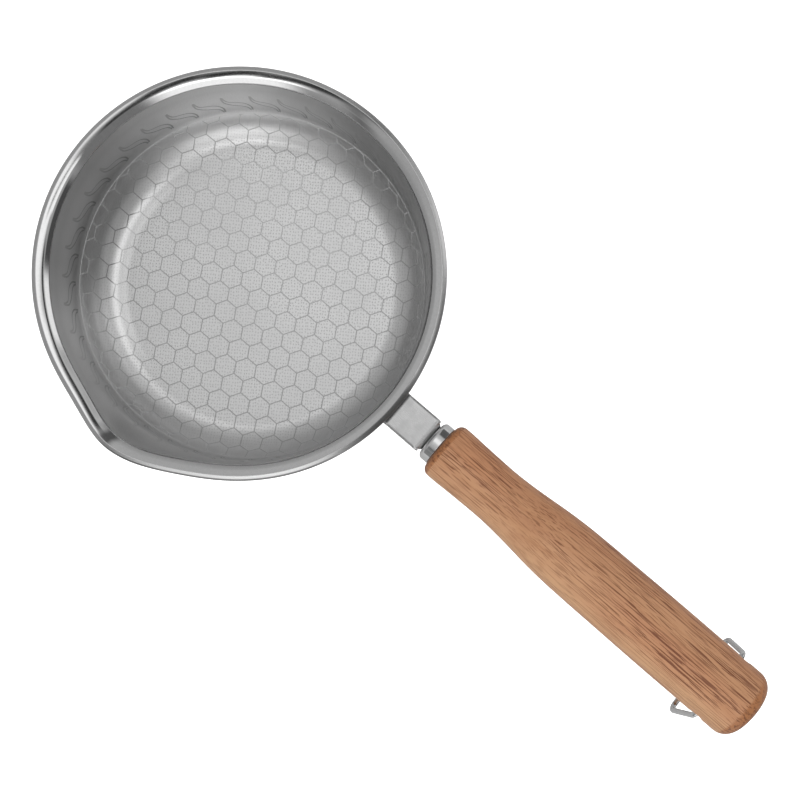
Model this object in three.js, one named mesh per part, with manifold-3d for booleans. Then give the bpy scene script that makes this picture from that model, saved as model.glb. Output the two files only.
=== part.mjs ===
// Small stainless frying pan with a pouring spout, a turned wooden handle and a wire hanging loop.
// Millimetres, +Z up. The origin is the centre of the base's underside, +X runs towards the handle,
// and the spout is on the -Y side.
import * as THREE from "three";
import { mergeVertices } from "three/addons/utils/BufferGeometryUtils.js";
import Module from "manifold-3d";

// ---- driving dimensions -------------------------------------------------------------------------
// bowl
const RIM_R = 80.0; // outside of the rolled bead
const HEIGHT = 54.3; // underside of the base to the top of the bead
const DEPTH = 50.2; // top of the bead to the flat inside
const SHEET = 0.9; // wall thickness
const FLAT_R = 58.3; // flat part of the inside
const FILLET_R = 15.0; // inside radius between the flat and the wall
const WALL_LEAN = 2.0; // degrees the wall opens from the vertical
const LIP_IN_R = 74.6; // where the wall turns into the lip
const LIP_IN_DROP = 3.6; // that edge below the top of the bead
const BEAD_R = 0.9; // radius of the rolled edge
const BOWL_SIDES = 64;
// spout
const SPOUT_OUT = 4.6; // how far the lip is pushed out
const SPOUT_AT = -85.8; // degrees from +X
const SPOUT_WIDE = 11.1; // spread on the handle's side, degrees
const SPOUT_STEEP = 8.4; // spread on the far side, degrees
const SPOUT_FADE = [4.0, 25.0]; // full push down to the first drop, none below the second
// base
const CAP_R = 57.0;
const CAP_T = 0.6;
const CAP_WALL = 0.7;
const CORE_R = 56.0;
const CORE_T = 2.6;
// handle axis: starts under the lip and rises away from the pan
const AXIS_X = 80.0;
const AXIS_DROP = 11.2; // below the top of the bead, at AXIS_X
const TILT = 6.0; // degrees
// bracket, measured along the handle axis (a), across it (y) and above it (z)
const STRAP_W = 15.2;
const STRAP_T = 1.5;
const STRAP_TOP = 6.4;
const STRAP_BOTTOM = -6.0;
const STRAP_END = 17.85; // outer face of the folded tab
const STRAP_BEND = 2.2;
const TAB_W = 11.4;
const CHANNEL_SHORT = 1.15; // the channel's sides stop this far before the tab's face
const EAR_W = 27.0;
const EAR_LOW = -8.0; // the welded ears reach from here to EAR_HIGH, about the axis height at the wall
const EAR_HIGH = 5.2;
const EAR_T = 1.4;
const WELD_GAP = 0.3;
// bolt, washer, ferrule, insert
const BOLT_R = 2.5;
const HEAD_AF = 8.0;
const HEAD_T = 3.5;
const BOLT_LEN = 24.0;
const WASHER_T = 1.3;
const WASHER_R = [2.7, 4.4];
const WASHER_SPLIT = 14; // degrees
const FERRULE = [17.95, 22.9]; // front and back along the axis
const FERRULE_R = 8.55;
const FERRULE_BORE = 2.8;
const INSERT = [23.2, 38.8];
const INSERT_R = 4.4;
const INSERT_BORE = 2.6;
// wood: distance along the axis, radius
const WOOD = [23.05, 176.25];
const WOOD_BORE = [4.5, 41.0]; // radius, bottom
const WOOD_FRONT_ROUND = 3.2;
const WOOD_END_ROUND = 5.2;
const WOOD_PROFILE = [
  [28.5, 12.13],
  [34.5, 11.92],
  [42.0, 11.67],
  [53.0, 11.52],
  [58.0, 11.71],
  [64.0, 12.10],
  [71.0, 12.73],
  [78.0, 13.31],
  [86.0, 13.80],
  [96.0, 14.02],
  [112.0, 14.12],
  [134.0, 14.24],
  [152.0, 14.16],
];
const WOOD_END_R = 14.14;
const WOOD_SIDES = 32;
// hanging loop
const HOLE_A = 162.2; // cross hole along the axis
const HOLE_R = 3.0;
const WIRE_R = 1.1;
const LOOP_END = 6.5; // free end of the wire from the middle
const LOOP_TOP = 15.0; // half width at the hole
const LOOP_WIDE = 17.87; // half width where the lower corners start
const LOOP_DEEP = 24.6; // hole axis to the lower bar
const LOOP_TOP_ROUND = 3.0;
const LOOP_LOW_ROUND = 3.2;
const LOOP_SKEW = 4.5; // degrees it hangs askew in its loose hole, towards -Y
const LOOP_SHIFT = 0.45;
const LOOP_SLACK = [-0.5, 0.1]; // the wire's middle from the hole's axis, along +X and +Z

// ---- helpers ------------------------------------------------------------------------------------
const wasm = await Module();
wasm.setup();
const rad = THREE.MathUtils.degToRad;

// A geometry's closed surface as a solid, facing out.
function solid(geometry, matrix) {
  const g = geometry.clone();
  for (const name of Object.keys(g.attributes))
    if (name !== "position") g.deleteAttribute(name);
  if (matrix) g.applyMatrix4(matrix);
  const m = mergeVertices(g, 1e-4);
  const index = [...m.index.array];
  const tris = [];
  for (let i = 0; i < index.length; i += 3) {
    const [a, b, c] = index.slice(i, i + 3);
    if (a !== b && b !== c && c !== a) tris.push(a, b, c);
  }
  const make = (t) =>
    new wasm.Manifold(
      new wasm.Mesh({
        numProp: 3,
        vertProperties: new Float32Array(m.attributes.position.array),
        triVerts: new Uint32Array(t),
      }),
    );
  const made = make(tris);
  if (made.volume() > 0) return made;
  const turned = [];
  for (let i = 0; i < tris.length; i += 3)
    turned.push(tris[i], tris[i + 2], tris[i + 1]);
  return make(turned);
}

function geometryOf(s) {
  const m = s.getMesh();
  const v = new Float32Array(m.numVert * 3);
  for (let i = 0; i < m.numVert; i++)
    v.set(
      m.vertProperties.subarray(i * m.numProp, i * m.numProp + 3),
      i * 3,
    );
  const g = new THREE.BufferGeometry();
  g.setAttribute("position", new THREE.BufferAttribute(v, 3));
  g.setIndex(new THREE.BufferAttribute(m.triVerts.slice(), 1));
  g.computeVertexNormals();
  return g;
}

function piece(name, s, colour, roughness, metalness) {
  const mesh = new THREE.Mesh(
    geometryOf(s),
    new THREE.MeshStandardMaterial({ color: colour, roughness, metalness }),
  );
  mesh.name = name;
  return mesh;
}

const v2 = (p) => new THREE.Vector2(p[0], p[1]);
// Revolved about +Z: profile points are [radius, z].
const revolveZ = (profile, sides) =>
  new THREE.LatheGeometry(profile.map(v2), sides).rotateX(Math.PI / 2);
// Revolved about +X: profile points are [x, radius].
const revolveX = (profile, sides) =>
  new THREE.LatheGeometry(
    profile.map(([x, r]) => new THREE.Vector2(r, x)),
    sides,
  ).rotateZ(-Math.PI / 2);
const arc = (cx, cy, r, from, to, n) =>
  Array.from({ length: n + 1 }, (_, i) => {
    const t = rad(from + ((to - from) * i) / n);
    return [cx + r * Math.cos(t), cy + r * Math.sin(t)];
  });
const smooth = (x) => {
  const t = Math.min(1, Math.max(0, x));
  return t * t * (3 - 2 * t);
};

// ---- bowl ---------------------------------------------------------------------------------------
// Heights here are below the top of the bead.
const flatZ = -DEPTH;
const filletEnd = 90 - WALL_LEAN;
const lean = Math.tan(rad(WALL_LEAN));
const wallFoot = [
  FLAT_R + FILLET_R * Math.sin(rad(filletEnd)),
  flatZ + FILLET_R * (1 - Math.cos(rad(filletEnd))),
];
const wallIn = (z) => wallFoot[0] + (z - wallFoot[1]) * lean;
const wallDrops = [-30, -25, -20, -15, -10, -5.6];
const beadX = RIM_R - BEAD_R;
const inside = [
  [0, flatZ],
  ...arc(FLAT_R, flatZ + FILLET_R, FILLET_R, -90, -90 + filletEnd, 6),
  ...wallDrops.map((z) => [wallIn(z), z]),
  [LIP_IN_R - 0.1, -LIP_IN_DROP - 0.7],
  [LIP_IN_R + 0.25, -LIP_IN_DROP + 0.35],
  [LIP_IN_R + 1.6, -LIP_IN_DROP + 1.55],
  [beadX - 0.75, -0.85],
];
const bead = arc(beadX, -BEAD_R, BEAD_R, 150, -120, 6);
const outside = [
  [LIP_IN_R + 2.2, -LIP_IN_DROP + 0.75],
  [LIP_IN_R + 0.95, -LIP_IN_DROP - 0.45],
  [LIP_IN_R + 0.8, -LIP_IN_DROP - 1.2],
  ...[...wallDrops].reverse().map((z) => [wallIn(z) + SHEET, z]),
  ...arc(
    FLAT_R,
    flatZ + FILLET_R,
    FILLET_R + SHEET,
    -90 + filletEnd,
    -90,
    6,
  ),
  [0, flatZ - SHEET],
];
const bowlProfile = [...inside, ...bead, ...outside];

// The spout pushes the lip and the upper wall straight out, and dies away below.
function spoutPush(angle, drop) {
  const off = ((angle - SPOUT_AT + 540) % 360) - 180;
  const spread = off > 0 ? SPOUT_WIDE : SPOUT_STEEP;
  const low = 1 - smooth((drop - SPOUT_FADE[0]) / (SPOUT_FADE[1] - SPOUT_FADE[0]));
  return SPOUT_OUT * low * Math.exp(-(off * off) / (2 * spread * spread));
}
function withSpout(geometry) {
  const p = geometry.attributes.position;
  for (let i = 0; i < p.count; i++) {
    const r = Math.hypot(p.getX(i), p.getY(i));
    if (r < 60) continue;
    const push = spoutPush(
      THREE.MathUtils.radToDeg(Math.atan2(p.getY(i), p.getX(i))),
      -p.getZ(i),
    );
    p.setX(i, (p.getX(i) * (r + push)) / r);
    p.setY(i, (p.getY(i) * (r + push)) / r);
  }
  return geometry;
}
const bowl = piece(
  "pan_bowl",
  solid(withSpout(revolveZ(bowlProfile, BOWL_SIDES))),
  0xb4b7ba,
  0.28,
  1.0,
);
bowl.position.z = HEIGHT;

// ---- base ---------------------------------------------------------------------------------------
const bowlUnder = CAP_T + CORE_T;
const core = piece(
  "base_core",
  solid(
    new THREE.CylinderGeometry(CORE_R, CORE_R, CORE_T, 48).rotateX(Math.PI / 2),
  ),
  0xc9cbcd,
  0.5,
  1.0,
);
core.position.z = CAP_T + CORE_T / 2;
const cap = piece(
  "base_cap",
  solid(
    revolveZ(
      [
        [0, 0],
        ...arc(CAP_R - 0.9, 0.9, 0.9, -90, 0, 3),
        [CAP_R, bowlUnder],
        [CAP_R - CAP_WALL, bowlUnder],
        [CAP_R - CAP_WALL, CAP_T],
        [0, CAP_T],
      ],
      48,
    ),
  ),
  0xa9acae,
  0.35,
  1.0,
);

// ---- handle frame -------------------------------------------------------------------------------
const handle = new THREE.Group();
handle.position.set(AXIS_X, 0, HEIGHT - AXIS_DROP);
handle.rotation.y = -rad(TILT);
handle.updateMatrix();

// Solids of revolution that follow the outside of the wall at a given distance.
const wallOut = (gap) =>
  [...wallDrops].reverse().map((z) => [wallIn(z) + SHEET + gap, z + HEIGHT]);
function wallShell(near, far) {
  const inner = wallOut(near);
  const outer = wallOut(far).reverse();
  return solid(revolveZ([...inner, ...outer, inner[0]], 2 * BOWL_SIDES));
}
function wallPlug(gap) {
  const underLip = [
    [LIP_IN_R + 2.2 + gap, HEIGHT - LIP_IN_DROP + 0.75 - gap],
    [LIP_IN_R + 0.95 + gap, HEIGHT - LIP_IN_DROP - 0.45 - gap],
    [LIP_IN_R + 0.8 + gap, HEIGHT - LIP_IN_DROP - 1.2],
  ];
  const side = [...underLip, ...wallOut(gap)];
  const top = side[0][1];
  const low = side[side.length - 1][1];
  return solid(revolveZ([[0, top], ...side, [0, low]], 2 * BOWL_SIDES));
}

// Channel: a U section drawn along the handle axis.
function roundedU() {
  const w = STRAP_W / 2;
  const s = new THREE.Shape();
  const pts = [
    [-w, STRAP_BOTTOM],
    ...arc(-w + 2, STRAP_TOP - 2, 2, 180, 90, 3),
    ...arc(w - 2, STRAP_TOP - 2, 2, 90, 0, 3),
    [w, STRAP_BOTTOM],
    [w - STRAP_T, STRAP_BOTTOM],
    ...arc(w - STRAP_T - 0.6, STRAP_TOP - STRAP_T - 0.6, 0.6, 0, 90, 2),
    ...arc(-w + STRAP_T + 0.6, STRAP_TOP - STRAP_T - 0.6, 0.6, 90, 180, 2),
    [-w + STRAP_T, STRAP_BOTTOM],
  ];
  s.setFromPoints(pts.map(v2));
  return s;
}
const channelFrom = -14;
const channelTo = STRAP_END - CHANNEL_SHORT;
// ExtrudeGeometry draws along +Z with the section in XY: turn it so that section x is y, section y is z.
const alongAxis = new THREE.Matrix4().makeBasis(
  new THREE.Vector3(0, 1, 0),
  new THREE.Vector3(0, 0, 1),
  new THREE.Vector3(1, 0, 0),
);
const channel = solid(
  new THREE.ExtrudeGeometry(roundedU(), {
    depth: channelTo - channelFrom,
    bevelEnabled: false,
  }).translate(0, 0, channelFrom),
  alongAxis,
);
// Top strip that folds down into the end tab, narrower than the channel.
function foldedStrip() {
  const s = new THREE.Shape();
  const o = STRAP_BEND;
  const t = STRAP_T;
  const pts = [
    [6, STRAP_TOP],
    ...arc(STRAP_END - o, STRAP_TOP - o, o, 90, 0, 5),
    [STRAP_END, STRAP_BOTTOM],
    [STRAP_END - t, STRAP_BOTTOM],
    ...arc(STRAP_END - o, STRAP_TOP - o, o - t, 0, 90, 3),
    [6, STRAP_TOP - t],
  ];
  s.setFromPoints(pts.map(v2));
  return s;
}
// Section x is a, section y is z, drawn along y.
const acrossAxis = new THREE.Matrix4().makeBasis(
  new THREE.Vector3(1, 0, 0),
  new THREE.Vector3(0, 0, 1),
  new THREE.Vector3(0, -1, 0),
);
const strip = solid(
  new THREE.ExtrudeGeometry(foldedStrip(), {
    depth: TAB_W,
    bevelEnabled: false,
  }).translate(0, 0, -TAB_W / 2),
  acrossAxis,
);
const tabHole = solid(
  new THREE.CylinderGeometry(2.8, 2.8, 8, 24)
    .rotateZ(Math.PI / 2)
    .translate(STRAP_END, 0, 0),
);
const strap = channel.add(strip).subtract(tabHole);
const turned = handle.matrix;
const placed = (s) => {
  const g = geometryOf(s);
  return solid(g, turned);
};
const earBox = solid(
  new THREE.BoxGeometry(40, EAR_W, EAR_HIGH - EAR_LOW).translate(
    80,
    0,
    HEIGHT - AXIS_DROP + (EAR_HIGH + EAR_LOW) / 2 - 0.5,
  ),
);
const ears = wallShell(WELD_GAP, WELD_GAP + EAR_T).intersect(earBox);
const bracket = piece(
  "handle_bracket",
  placed(strap).subtract(wallPlug(WELD_GAP)).add(ears),
  0xaeb0b2,
  0.38,
  1.0,
);

// ---- bolt, washer, ferrule, insert --------------------------------------------------------------
const tabIn = STRAP_END - STRAP_T;
const washerFrom = tabIn - 0.1 - WASHER_T;
const headFrom = washerFrom - 0.1 - HEAD_T;
const head = solid(
  new THREE.CylinderGeometry(
    HEAD_AF / 2 / Math.cos(rad(30)),
    HEAD_AF / 2 / Math.cos(rad(30)),
    HEAD_T,
    6,
  )
    .rotateZ(Math.PI / 2)
    .translate(headFrom + HEAD_T / 2, 0, 0),
);
const shank = solid(
  revolveX(
    [
      [headFrom + HEAD_T - 0.6, 0],
      [headFrom + HEAD_T - 0.6, BOLT_R],
      [headFrom + HEAD_T + BOLT_LEN - 0.7, BOLT_R],
      [headFrom + HEAD_T + BOLT_LEN, BOLT_R - 0.7],
      [headFrom + HEAD_T + BOLT_LEN, 0],
    ],
    20,
  ),
);
const bolt = piece("handle_bolt", head.add(shank), 0x8f9294, 0.35, 1.0);

function splitRing() {
  const [r0, r1] = WASHER_R;
  const s = new THREE.Shape();
  s.setFromPoints(
    [
      ...arc(0, 0, r1, WASHER_SPLIT / 2, 360 - WASHER_SPLIT / 2, 28),
      ...arc(0, 0, r0, 360 - WASHER_SPLIT / 2, WASHER_SPLIT / 2, 28),
    ].map(v2),
  );
  return s;
}
const washer = piece(
  "spring_washer",
  solid(
    new THREE.ExtrudeGeometry(splitRing(), {
      depth: WASHER_T,
      bevelEnabled: false,
    }).translate(0, 0, washerFrom),
    alongAxis,
  ),
  0x7d8082,
  0.4,
  1.0,
);

const ferrule = piece(
  "ferrule",
  solid(
    revolveX(
      [
        [FERRULE[0], FERRULE_BORE],
        [FERRULE[0], 5.7],
        [FERRULE[0] + 0.45, 6.9],
        [FERRULE[0] + 1.1, 8.0],
        [FERRULE[0] + 1.9, FERRULE_R],
        [FERRULE[1] - 0.3, FERRULE_R],
        [FERRULE[1], FERRULE_R - 0.3],
        [FERRULE[1], FERRULE_BORE],
        [FERRULE[0], FERRULE_BORE],
      ],
      36,
    ),
  ),
  0xc6c8ca,
  0.12,
  1.0,
);

const insertProfile = [
  [INSERT[0], INSERT_BORE],
  [INSERT[0], INSERT_R],
];
for (let a = INSERT[0] + 1.6; a < INSERT[1] - 2.4; a += 2.6)
  insertProfile.push(
    [a, INSERT_R],
    [a + 0.5, INSERT_R - 0.7],
    [a + 1.3, INSERT_R - 0.7],
    [a + 1.8, INSERT_R],
  );
insertProfile.push(
  [INSERT[1] - 0.6, INSERT_R],
  [INSERT[1], INSERT_R - 0.6],
  [INSERT[1], INSERT_BORE],
  [INSERT[0], INSERT_BORE],
);
const insert = piece(
  "threaded_insert",
  solid(revolveX(insertProfile, 20)),
  0xa58f55,
  0.4,
  1.0,
);

// ---- wood ---------------------------------------------------------------------------------------
const frontR = WOOD_PROFILE[0][1];
const woodProfile = [
  [WOOD_BORE[1], 0],
  [WOOD_BORE[1], WOOD_BORE[0]],
  [WOOD[0], WOOD_BORE[0]],
  ...arc(
    WOOD[0] + WOOD_FRONT_ROUND,
    frontR - WOOD_FRONT_ROUND,
    WOOD_FRONT_ROUND,
    180,
    95,
    4,
  ),
  ...WOOD_PROFILE,
  ...arc(
    WOOD[1] - WOOD_END_ROUND,
    WOOD_END_R - WOOD_END_ROUND,
    WOOD_END_ROUND,
    90,
    0,
    5,
  ),
  [WOOD[1], 0],
];
const crossHole = solid(
  new THREE.CylinderGeometry(HOLE_R, HOLE_R, 40, 24).translate(HOLE_A, 0, 0),
);
const wood = piece(
  "wood_handle",
  solid(revolveX(woodProfile, WOOD_SIDES)).subtract(crossHole),
  0xbd8e69,
  0.55,
  0.0,
);

handle.add(bolt, washer, ferrule, insert, wood);

// ---- hanging loop -------------------------------------------------------------------------------
// Path in the loop's own plane: across (y) and below the hole's axis (d), with rounded corners.
function roundedPath(corners, rounds, per) {
  const out = [corners[0]];
  for (let i = 1; i < corners.length - 1; i++) {
    const p = new THREE.Vector2(...corners[i]);
    const u = new THREE.Vector2(...corners[i - 1]).sub(p).normalize();
    const w = new THREE.Vector2(...corners[i + 1]).sub(p).normalize();
    const half = Math.acos(THREE.MathUtils.clamp(u.dot(w), -1, 1)) / 2;
    const back = rounds[i - 1] / Math.tan(half);
    const mid = u.clone().add(w).normalize();
    const c = p.clone().addScaledVector(mid, rounds[i - 1] / Math.sin(half));
    const a = p.clone().addScaledVector(u, back).sub(c);
    const b = p.clone().addScaledVector(w, back).sub(c);
    const turn = Math.atan2(a.cross(b), a.dot(b));
    for (let k = 0; k <= per; k++) {
      const q = a
        .clone()
        .rotateAround(new THREE.Vector2(), (turn * k) / per)
        .add(c);
      out.push([q.x, q.y]);
    }
  }
  out.push(corners[corners.length - 1]);
  return out;
}
const flare = (LOOP_WIDE - LOOP_TOP) / (LOOP_DEEP - LOOP_LOW_ROUND);
const lowHalf = LOOP_TOP + flare * LOOP_DEEP;
const loopPlane = roundedPath(
  [
    [LOOP_END, 0],
    [LOOP_TOP, 0],
    [lowHalf, LOOP_DEEP],
    [-lowHalf, LOOP_DEEP],
    [-LOOP_TOP, 0],
    [-LOOP_END, 0],
  ],
  [LOOP_TOP_ROUND, LOOP_LOW_ROUND, LOOP_LOW_ROUND, LOOP_TOP_ROUND],
  5,
);
const ck = Math.cos(rad(LOOP_SKEW));
const sk = Math.sin(rad(LOOP_SKEW));
// Straight stretches get points of their own, so that the wire stays straight there.
const loopPoints = [];
loopPlane.forEach(([y, d], i) => {
  const place = (yy, dd) =>
    new THREE.Vector3(
      LOOP_SLACK[0],
      yy * ck - dd * sk + LOOP_SHIFT,
      LOOP_SLACK[1] - (dd * ck + yy * sk),
    );
  if (i > 0) {
    const [py, pd] = loopPlane[i - 1];
    const n = Math.floor(Math.hypot(y - py, d - pd) / 5);
    for (let k = 1; k <= n; k++)
      loopPoints.push(
        place(py + ((y - py) * k) / (n + 1), pd + ((d - pd) * k) / (n + 1)),
      );
  }
  loopPoints.push(place(y, d));
});
const wirePath = new THREE.CatmullRomCurve3(loopPoints, false, "centripetal");
const wireSection = new THREE.Shape();
wireSection.setFromPoints(
  Array.from({ length: 8 }, (_, i) =>
    v2([
      WIRE_R * Math.cos((i * Math.PI) / 4),
      WIRE_R * Math.sin((i * Math.PI) / 4),
    ]),
  ),
);
const loop = piece(
  "hanging_loop",
  solid(
    new THREE.ExtrudeGeometry(wireSection, {
      steps: 64,
      extrudePath: wirePath,
      bevelEnabled: false,
    }),
  ),
  0xa6a8aa,
  0.3,
  1.0,
);
const hole = new THREE.Vector3(HOLE_A, 0, 0).applyMatrix4(handle.matrix);
loop.position.copy(hole);

// ---- whole pan ----------------------------------------------------------------------------------
const pan = new THREE.Group();
pan.add(bowl, core, cap, bracket, handle, loop);

export default pan;
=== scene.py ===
"""Small stainless frying pan with a wooden handle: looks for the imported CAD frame."""

import math

import bmesh
import bpy
import numpy as np
from mathutils import Matrix, Vector
from mathutils.geometry import delaunay_2d_cdt
from mathutils.kdtree import KDTree


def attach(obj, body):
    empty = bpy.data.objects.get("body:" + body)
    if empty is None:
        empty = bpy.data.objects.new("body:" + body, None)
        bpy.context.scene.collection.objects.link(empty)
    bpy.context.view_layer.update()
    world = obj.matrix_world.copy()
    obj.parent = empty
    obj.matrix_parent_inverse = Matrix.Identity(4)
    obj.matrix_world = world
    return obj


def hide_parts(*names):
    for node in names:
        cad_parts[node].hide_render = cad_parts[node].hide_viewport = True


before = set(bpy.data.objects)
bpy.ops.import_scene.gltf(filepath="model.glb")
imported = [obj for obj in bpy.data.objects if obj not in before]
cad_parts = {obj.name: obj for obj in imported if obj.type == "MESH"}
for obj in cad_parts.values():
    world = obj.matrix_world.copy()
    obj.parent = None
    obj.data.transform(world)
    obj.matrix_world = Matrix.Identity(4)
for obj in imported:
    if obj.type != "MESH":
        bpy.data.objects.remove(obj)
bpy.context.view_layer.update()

rad = math.radians
MM = 0.001

# ---------------------------------------------------------------- dimensions, millimetres
HEIGHT = 54.3  # base's underside to the top of the bead
RIM_R = 80.3
SHEET = 0.9
FLAT_Z = 4.1
FLAT_R = 58.3
FILLET_R = 15.0
LIP_OUT, LIP_MID, LIP_IN = 28.5, 31.5, 53.0  # the lip's slope at its crease, halfway and at its inner edge, degrees
LIP_R = (40.0, 8.4)  # how the lip curves between them, outer and inner half
BEND_R = 1.0
SPOUT_OUT, SPOUT_AT, SPOUT_WIDE, SPOUT_STEEP = 4.6, -85.8, 11.1, 8.4
SPOUT_FADE = (4.0, 25.0)
# etched inside: honeycomb up to a border line, wave tongues above it
HEX_PITCH, HEX_ROW, HEX_AT = 8.791, 30.03, (-10.745, 5.716)
HEX_W, HEX_DEEP = 0.46, 0.024
RING_S = 76.9
TONGUES = 40
TONGUE_W, TONGUE_DEEP = 0.75, 0.03
WALL_R = 73.6
COLUMNS = 288
# base
CAP_R, CAP_WALL, CAP_T, CAP_TOP = 57.0, 0.7, 0.6, 3.2
# handle axis: distances a along it, y across, z above
AXIS_X, AXIS_DROP, TILT = 80.0, 11.2, 6.0
STRAP_W, STRAP_T, STRAP_TOP, STRAP_LOW = 15.2, 1.5, 6.4, -6.0
STRAP_END, STRAP_BEND = 18.35, 3.0
EAR_W, WELD_GAP = 27.0, 0.3
HEAD, HEAD_AF = (11.85, 15.35), 8.0
WASHER, WASHER_R, WASHER_SPLIT = (15.45, 16.75), (2.7, 4.4), 14.0
FERRULE, FERRULE_R, FERRULE_BORE = (18.45, 23.2), 8.55, 2.8
WOOD = (23.3, 176.2)
WOOD_BORE = (4.5, 41.0)
WOOD_FRONT_ROUND, WOOD_END_ROUND, WOOD_END_R = 3.2, 6.0, 14.1
WOOD_PROFILE = [
    (28.5, 11.94),
    (34.5, 11.74),
    (42.0, 11.52),
    (53.0, 11.38),
    (58.0, 11.58),
    (64.0, 12.0),
    (71.0, 12.67),
    (78.0, 13.31),
    (86.0, 13.8),
    (96.0, 14.02),
    (112.0, 14.12),
    (134.0, 14.24),
    (152.0, 14.16),
]
HOLE_A, HOLE_R = 162.2, 3.0
WIRE_R, LOOP_END, LOOP_TOP, LOOP_WIDE, LOOP_DEEP = 1.1, 6.5, 15.0, 17.87, 24.6
LOOP_ROUNDS, LOOP_SKEW, LOOP_SHIFT, LOOP_SLACK = (3.0, 3.2), 4.5, 0.45, (-0.5, 0.1)


# ---------------------------------------------------------------- mesh helpers
def make_object(name, verts_mm, faces, loop_normals=None, materials=(), material_index=None, uvs=None, loop_uvs=None):
    """A mesh object from millimetres. loop_normals and loop_uvs are per face corner, uvs per vertex."""
    mesh = bpy.data.meshes.new(name)
    verts = np.asarray(verts_mm, float) * MM
    mesh.from_pydata(verts.tolist(), [], [tuple(int(i) for i in f) for f in faces])
    for m in materials:
        mesh.materials.append(m)
    n = len(mesh.polygons)
    mesh.polygons.foreach_set("use_smooth", np.ones(n, bool))
    if material_index is not None:
        mesh.polygons.foreach_set("material_index", np.asarray(material_index, np.int32))
    corner = np.zeros(len(mesh.loops), np.int32)
    mesh.loops.foreach_get("vertex_index", corner)
    for uv_name, per_vertex in (uvs or {}).items():
        layer = mesh.uv_layers.new(name=uv_name)
        layer.data.foreach_set("uv", np.asarray(per_vertex, np.float32)[corner].ravel())
    for uv_name, per_loop in (loop_uvs or {}).items():
        layer = mesh.uv_layers.new(name=uv_name)
        layer.data.foreach_set("uv", np.asarray(per_loop, np.float32).ravel())
    mesh.update()
    if loop_normals is not None:
        mesh.normals_split_custom_set([tuple(v) for v in np.asarray(loop_normals, float)])
    obj = bpy.data.objects.new(name, mesh)
    bpy.context.scene.collection.objects.link(obj)
    return obj


def applied(obj):
    """The object with its modifiers made part of its mesh."""
    graph = bpy.context.evaluated_depsgraph_get()
    mesh = bpy.data.meshes.new_from_object(obj.evaluated_get(graph))
    spare = obj.data
    obj.modifiers.clear()
    obj.data = mesh
    bpy.data.meshes.remove(spare)
    mesh.name = obj.name
    return obj


def eased(obj, width, angle=45.0, segments=2):
    """Breaks the sharp edges of a pressed or cut piece, and keeps its flats flat."""
    b = obj.modifiers.new("edges", "BEVEL")
    b.width = width * MM
    b.segments = segments
    b.limit_method = "ANGLE"
    b.angle_limit = rad(angle)
    b.miter_outer = "MITER_ARC"
    w = obj.modifiers.new("flats", "WEIGHTED_NORMAL")
    w.keep_sharp = True
    return applied(obj)


def unit(v):
    return v / np.maximum(np.linalg.norm(v, axis=-1, keepdims=True), 1e-12)


def smooth(x):
    t = np.clip(x, 0, 1)
    return t * t * (3 - 2 * t)


class Path:
    """A planar path of lines and arcs. Each point keeps the heading it is reached with and the one it is left with."""

    def __init__(self, x, y, heading):
        self.p = [(x, y)]
        self.a = [heading]
        self.b = [heading]

    @property
    def at(self):
        return self.p[-1]

    @property
    def heading(self):
        return self.b[-1]

    def add(self, x, y, heading):
        self.p.append((x, y))
        self.a.append(heading)
        self.b.append(heading)
        return self

    def line(self, length, n=1):
        x, y = self.at
        h = self.heading
        c, s = math.cos(rad(h)), math.sin(rad(h))
        for i in range(1, n + 1):
            self.add(x + c * length * i / n, y + s * length * i / n, h)
        return self

    def arc(self, radius, turn, n=None):
        """Turns by that many degrees, to the left when positive."""
        x, y = self.at
        h0 = self.heading
        side = 1 if turn > 0 else -1
        cx = x - side * radius * math.sin(rad(h0))
        cy = y + side * radius * math.cos(rad(h0))
        n = n or max(3, int(abs(turn) / 2.5))
        for i in range(1, n + 1):
            h = h0 + turn * i / n
            self.add(cx + side * radius * math.sin(rad(h)), cy - side * radius * math.cos(rad(h)), h)
        return self

    def kink(self, turn):
        self.b[-1] += turn
        return self


class Mesh:
    """Vertices, faces and face-corner normals that grow piece by piece."""

    def __init__(self):
        self.v, self.f, self.n = [], [], []

    def add(self, points):
        start = len(self.v)
        self.v.extend(np.asarray(points, float).tolist())
        return np.arange(start, len(self.v))

    def face(self, ids, normals):
        """One face, turned so that it looks the way its normals point."""
        out, seen = [], set()
        for i, n in zip(ids, normals):
            if int(i) not in seen:
                seen.add(int(i))
                out.append((int(i), n))
        if len(out) < 3:
            return
        p = [np.array(self.v[i]) for i, _ in out]
        c = np.cross(p[1] - p[0], p[2] - p[0])
        if len(p) == 4:
            c = c + np.cross(p[2] - p[0], p[3] - p[0])
        if np.dot(c, np.sum([n for _, n in out], axis=0)) < 0:
            out.reverse()
        self.f.append([i for i, _ in out])
        self.n.extend([n for _, n in out])

    def strip(self, row0, row1, n0, n1, skip=None):
        """Quads between two closed rows of vertices; a row at a pole repeats its one vertex."""
        k = len(row0)
        first = next(j for j in range(k) if not (skip and skip(j)))
        m = (first + 1) % k
        p = [np.array(self.v[int(i)]) for i in (row0[first], row0[m], row1[m], row1[first])]
        c = np.cross(p[1] - p[0], p[2] - p[0]) + np.cross(p[2] - p[0], p[3] - p[0])
        turned = np.dot(c, n0[first] + n0[m] + n1[m] + n1[first]) < 0
        row0, row1 = [int(i) for i in row0], [int(i) for i in row1]
        for j in range(k):
            if skip and skip(j):
                continue
            m = (j + 1) % k
            ids = [row0[j], row0[m], row1[m], row1[j]]
            nrm = [n0[j], n0[m], n1[m], n1[j]]
            if ids[0] == ids[1]:
                ids, nrm = ids[1:], nrm[1:]
            elif ids[2] == ids[3]:
                ids, nrm = ids[:3], nrm[:3]
            if turned:
                ids, nrm = ids[::-1], nrm[::-1]
            self.f.append(ids)
            self.n.extend(nrm)


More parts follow.
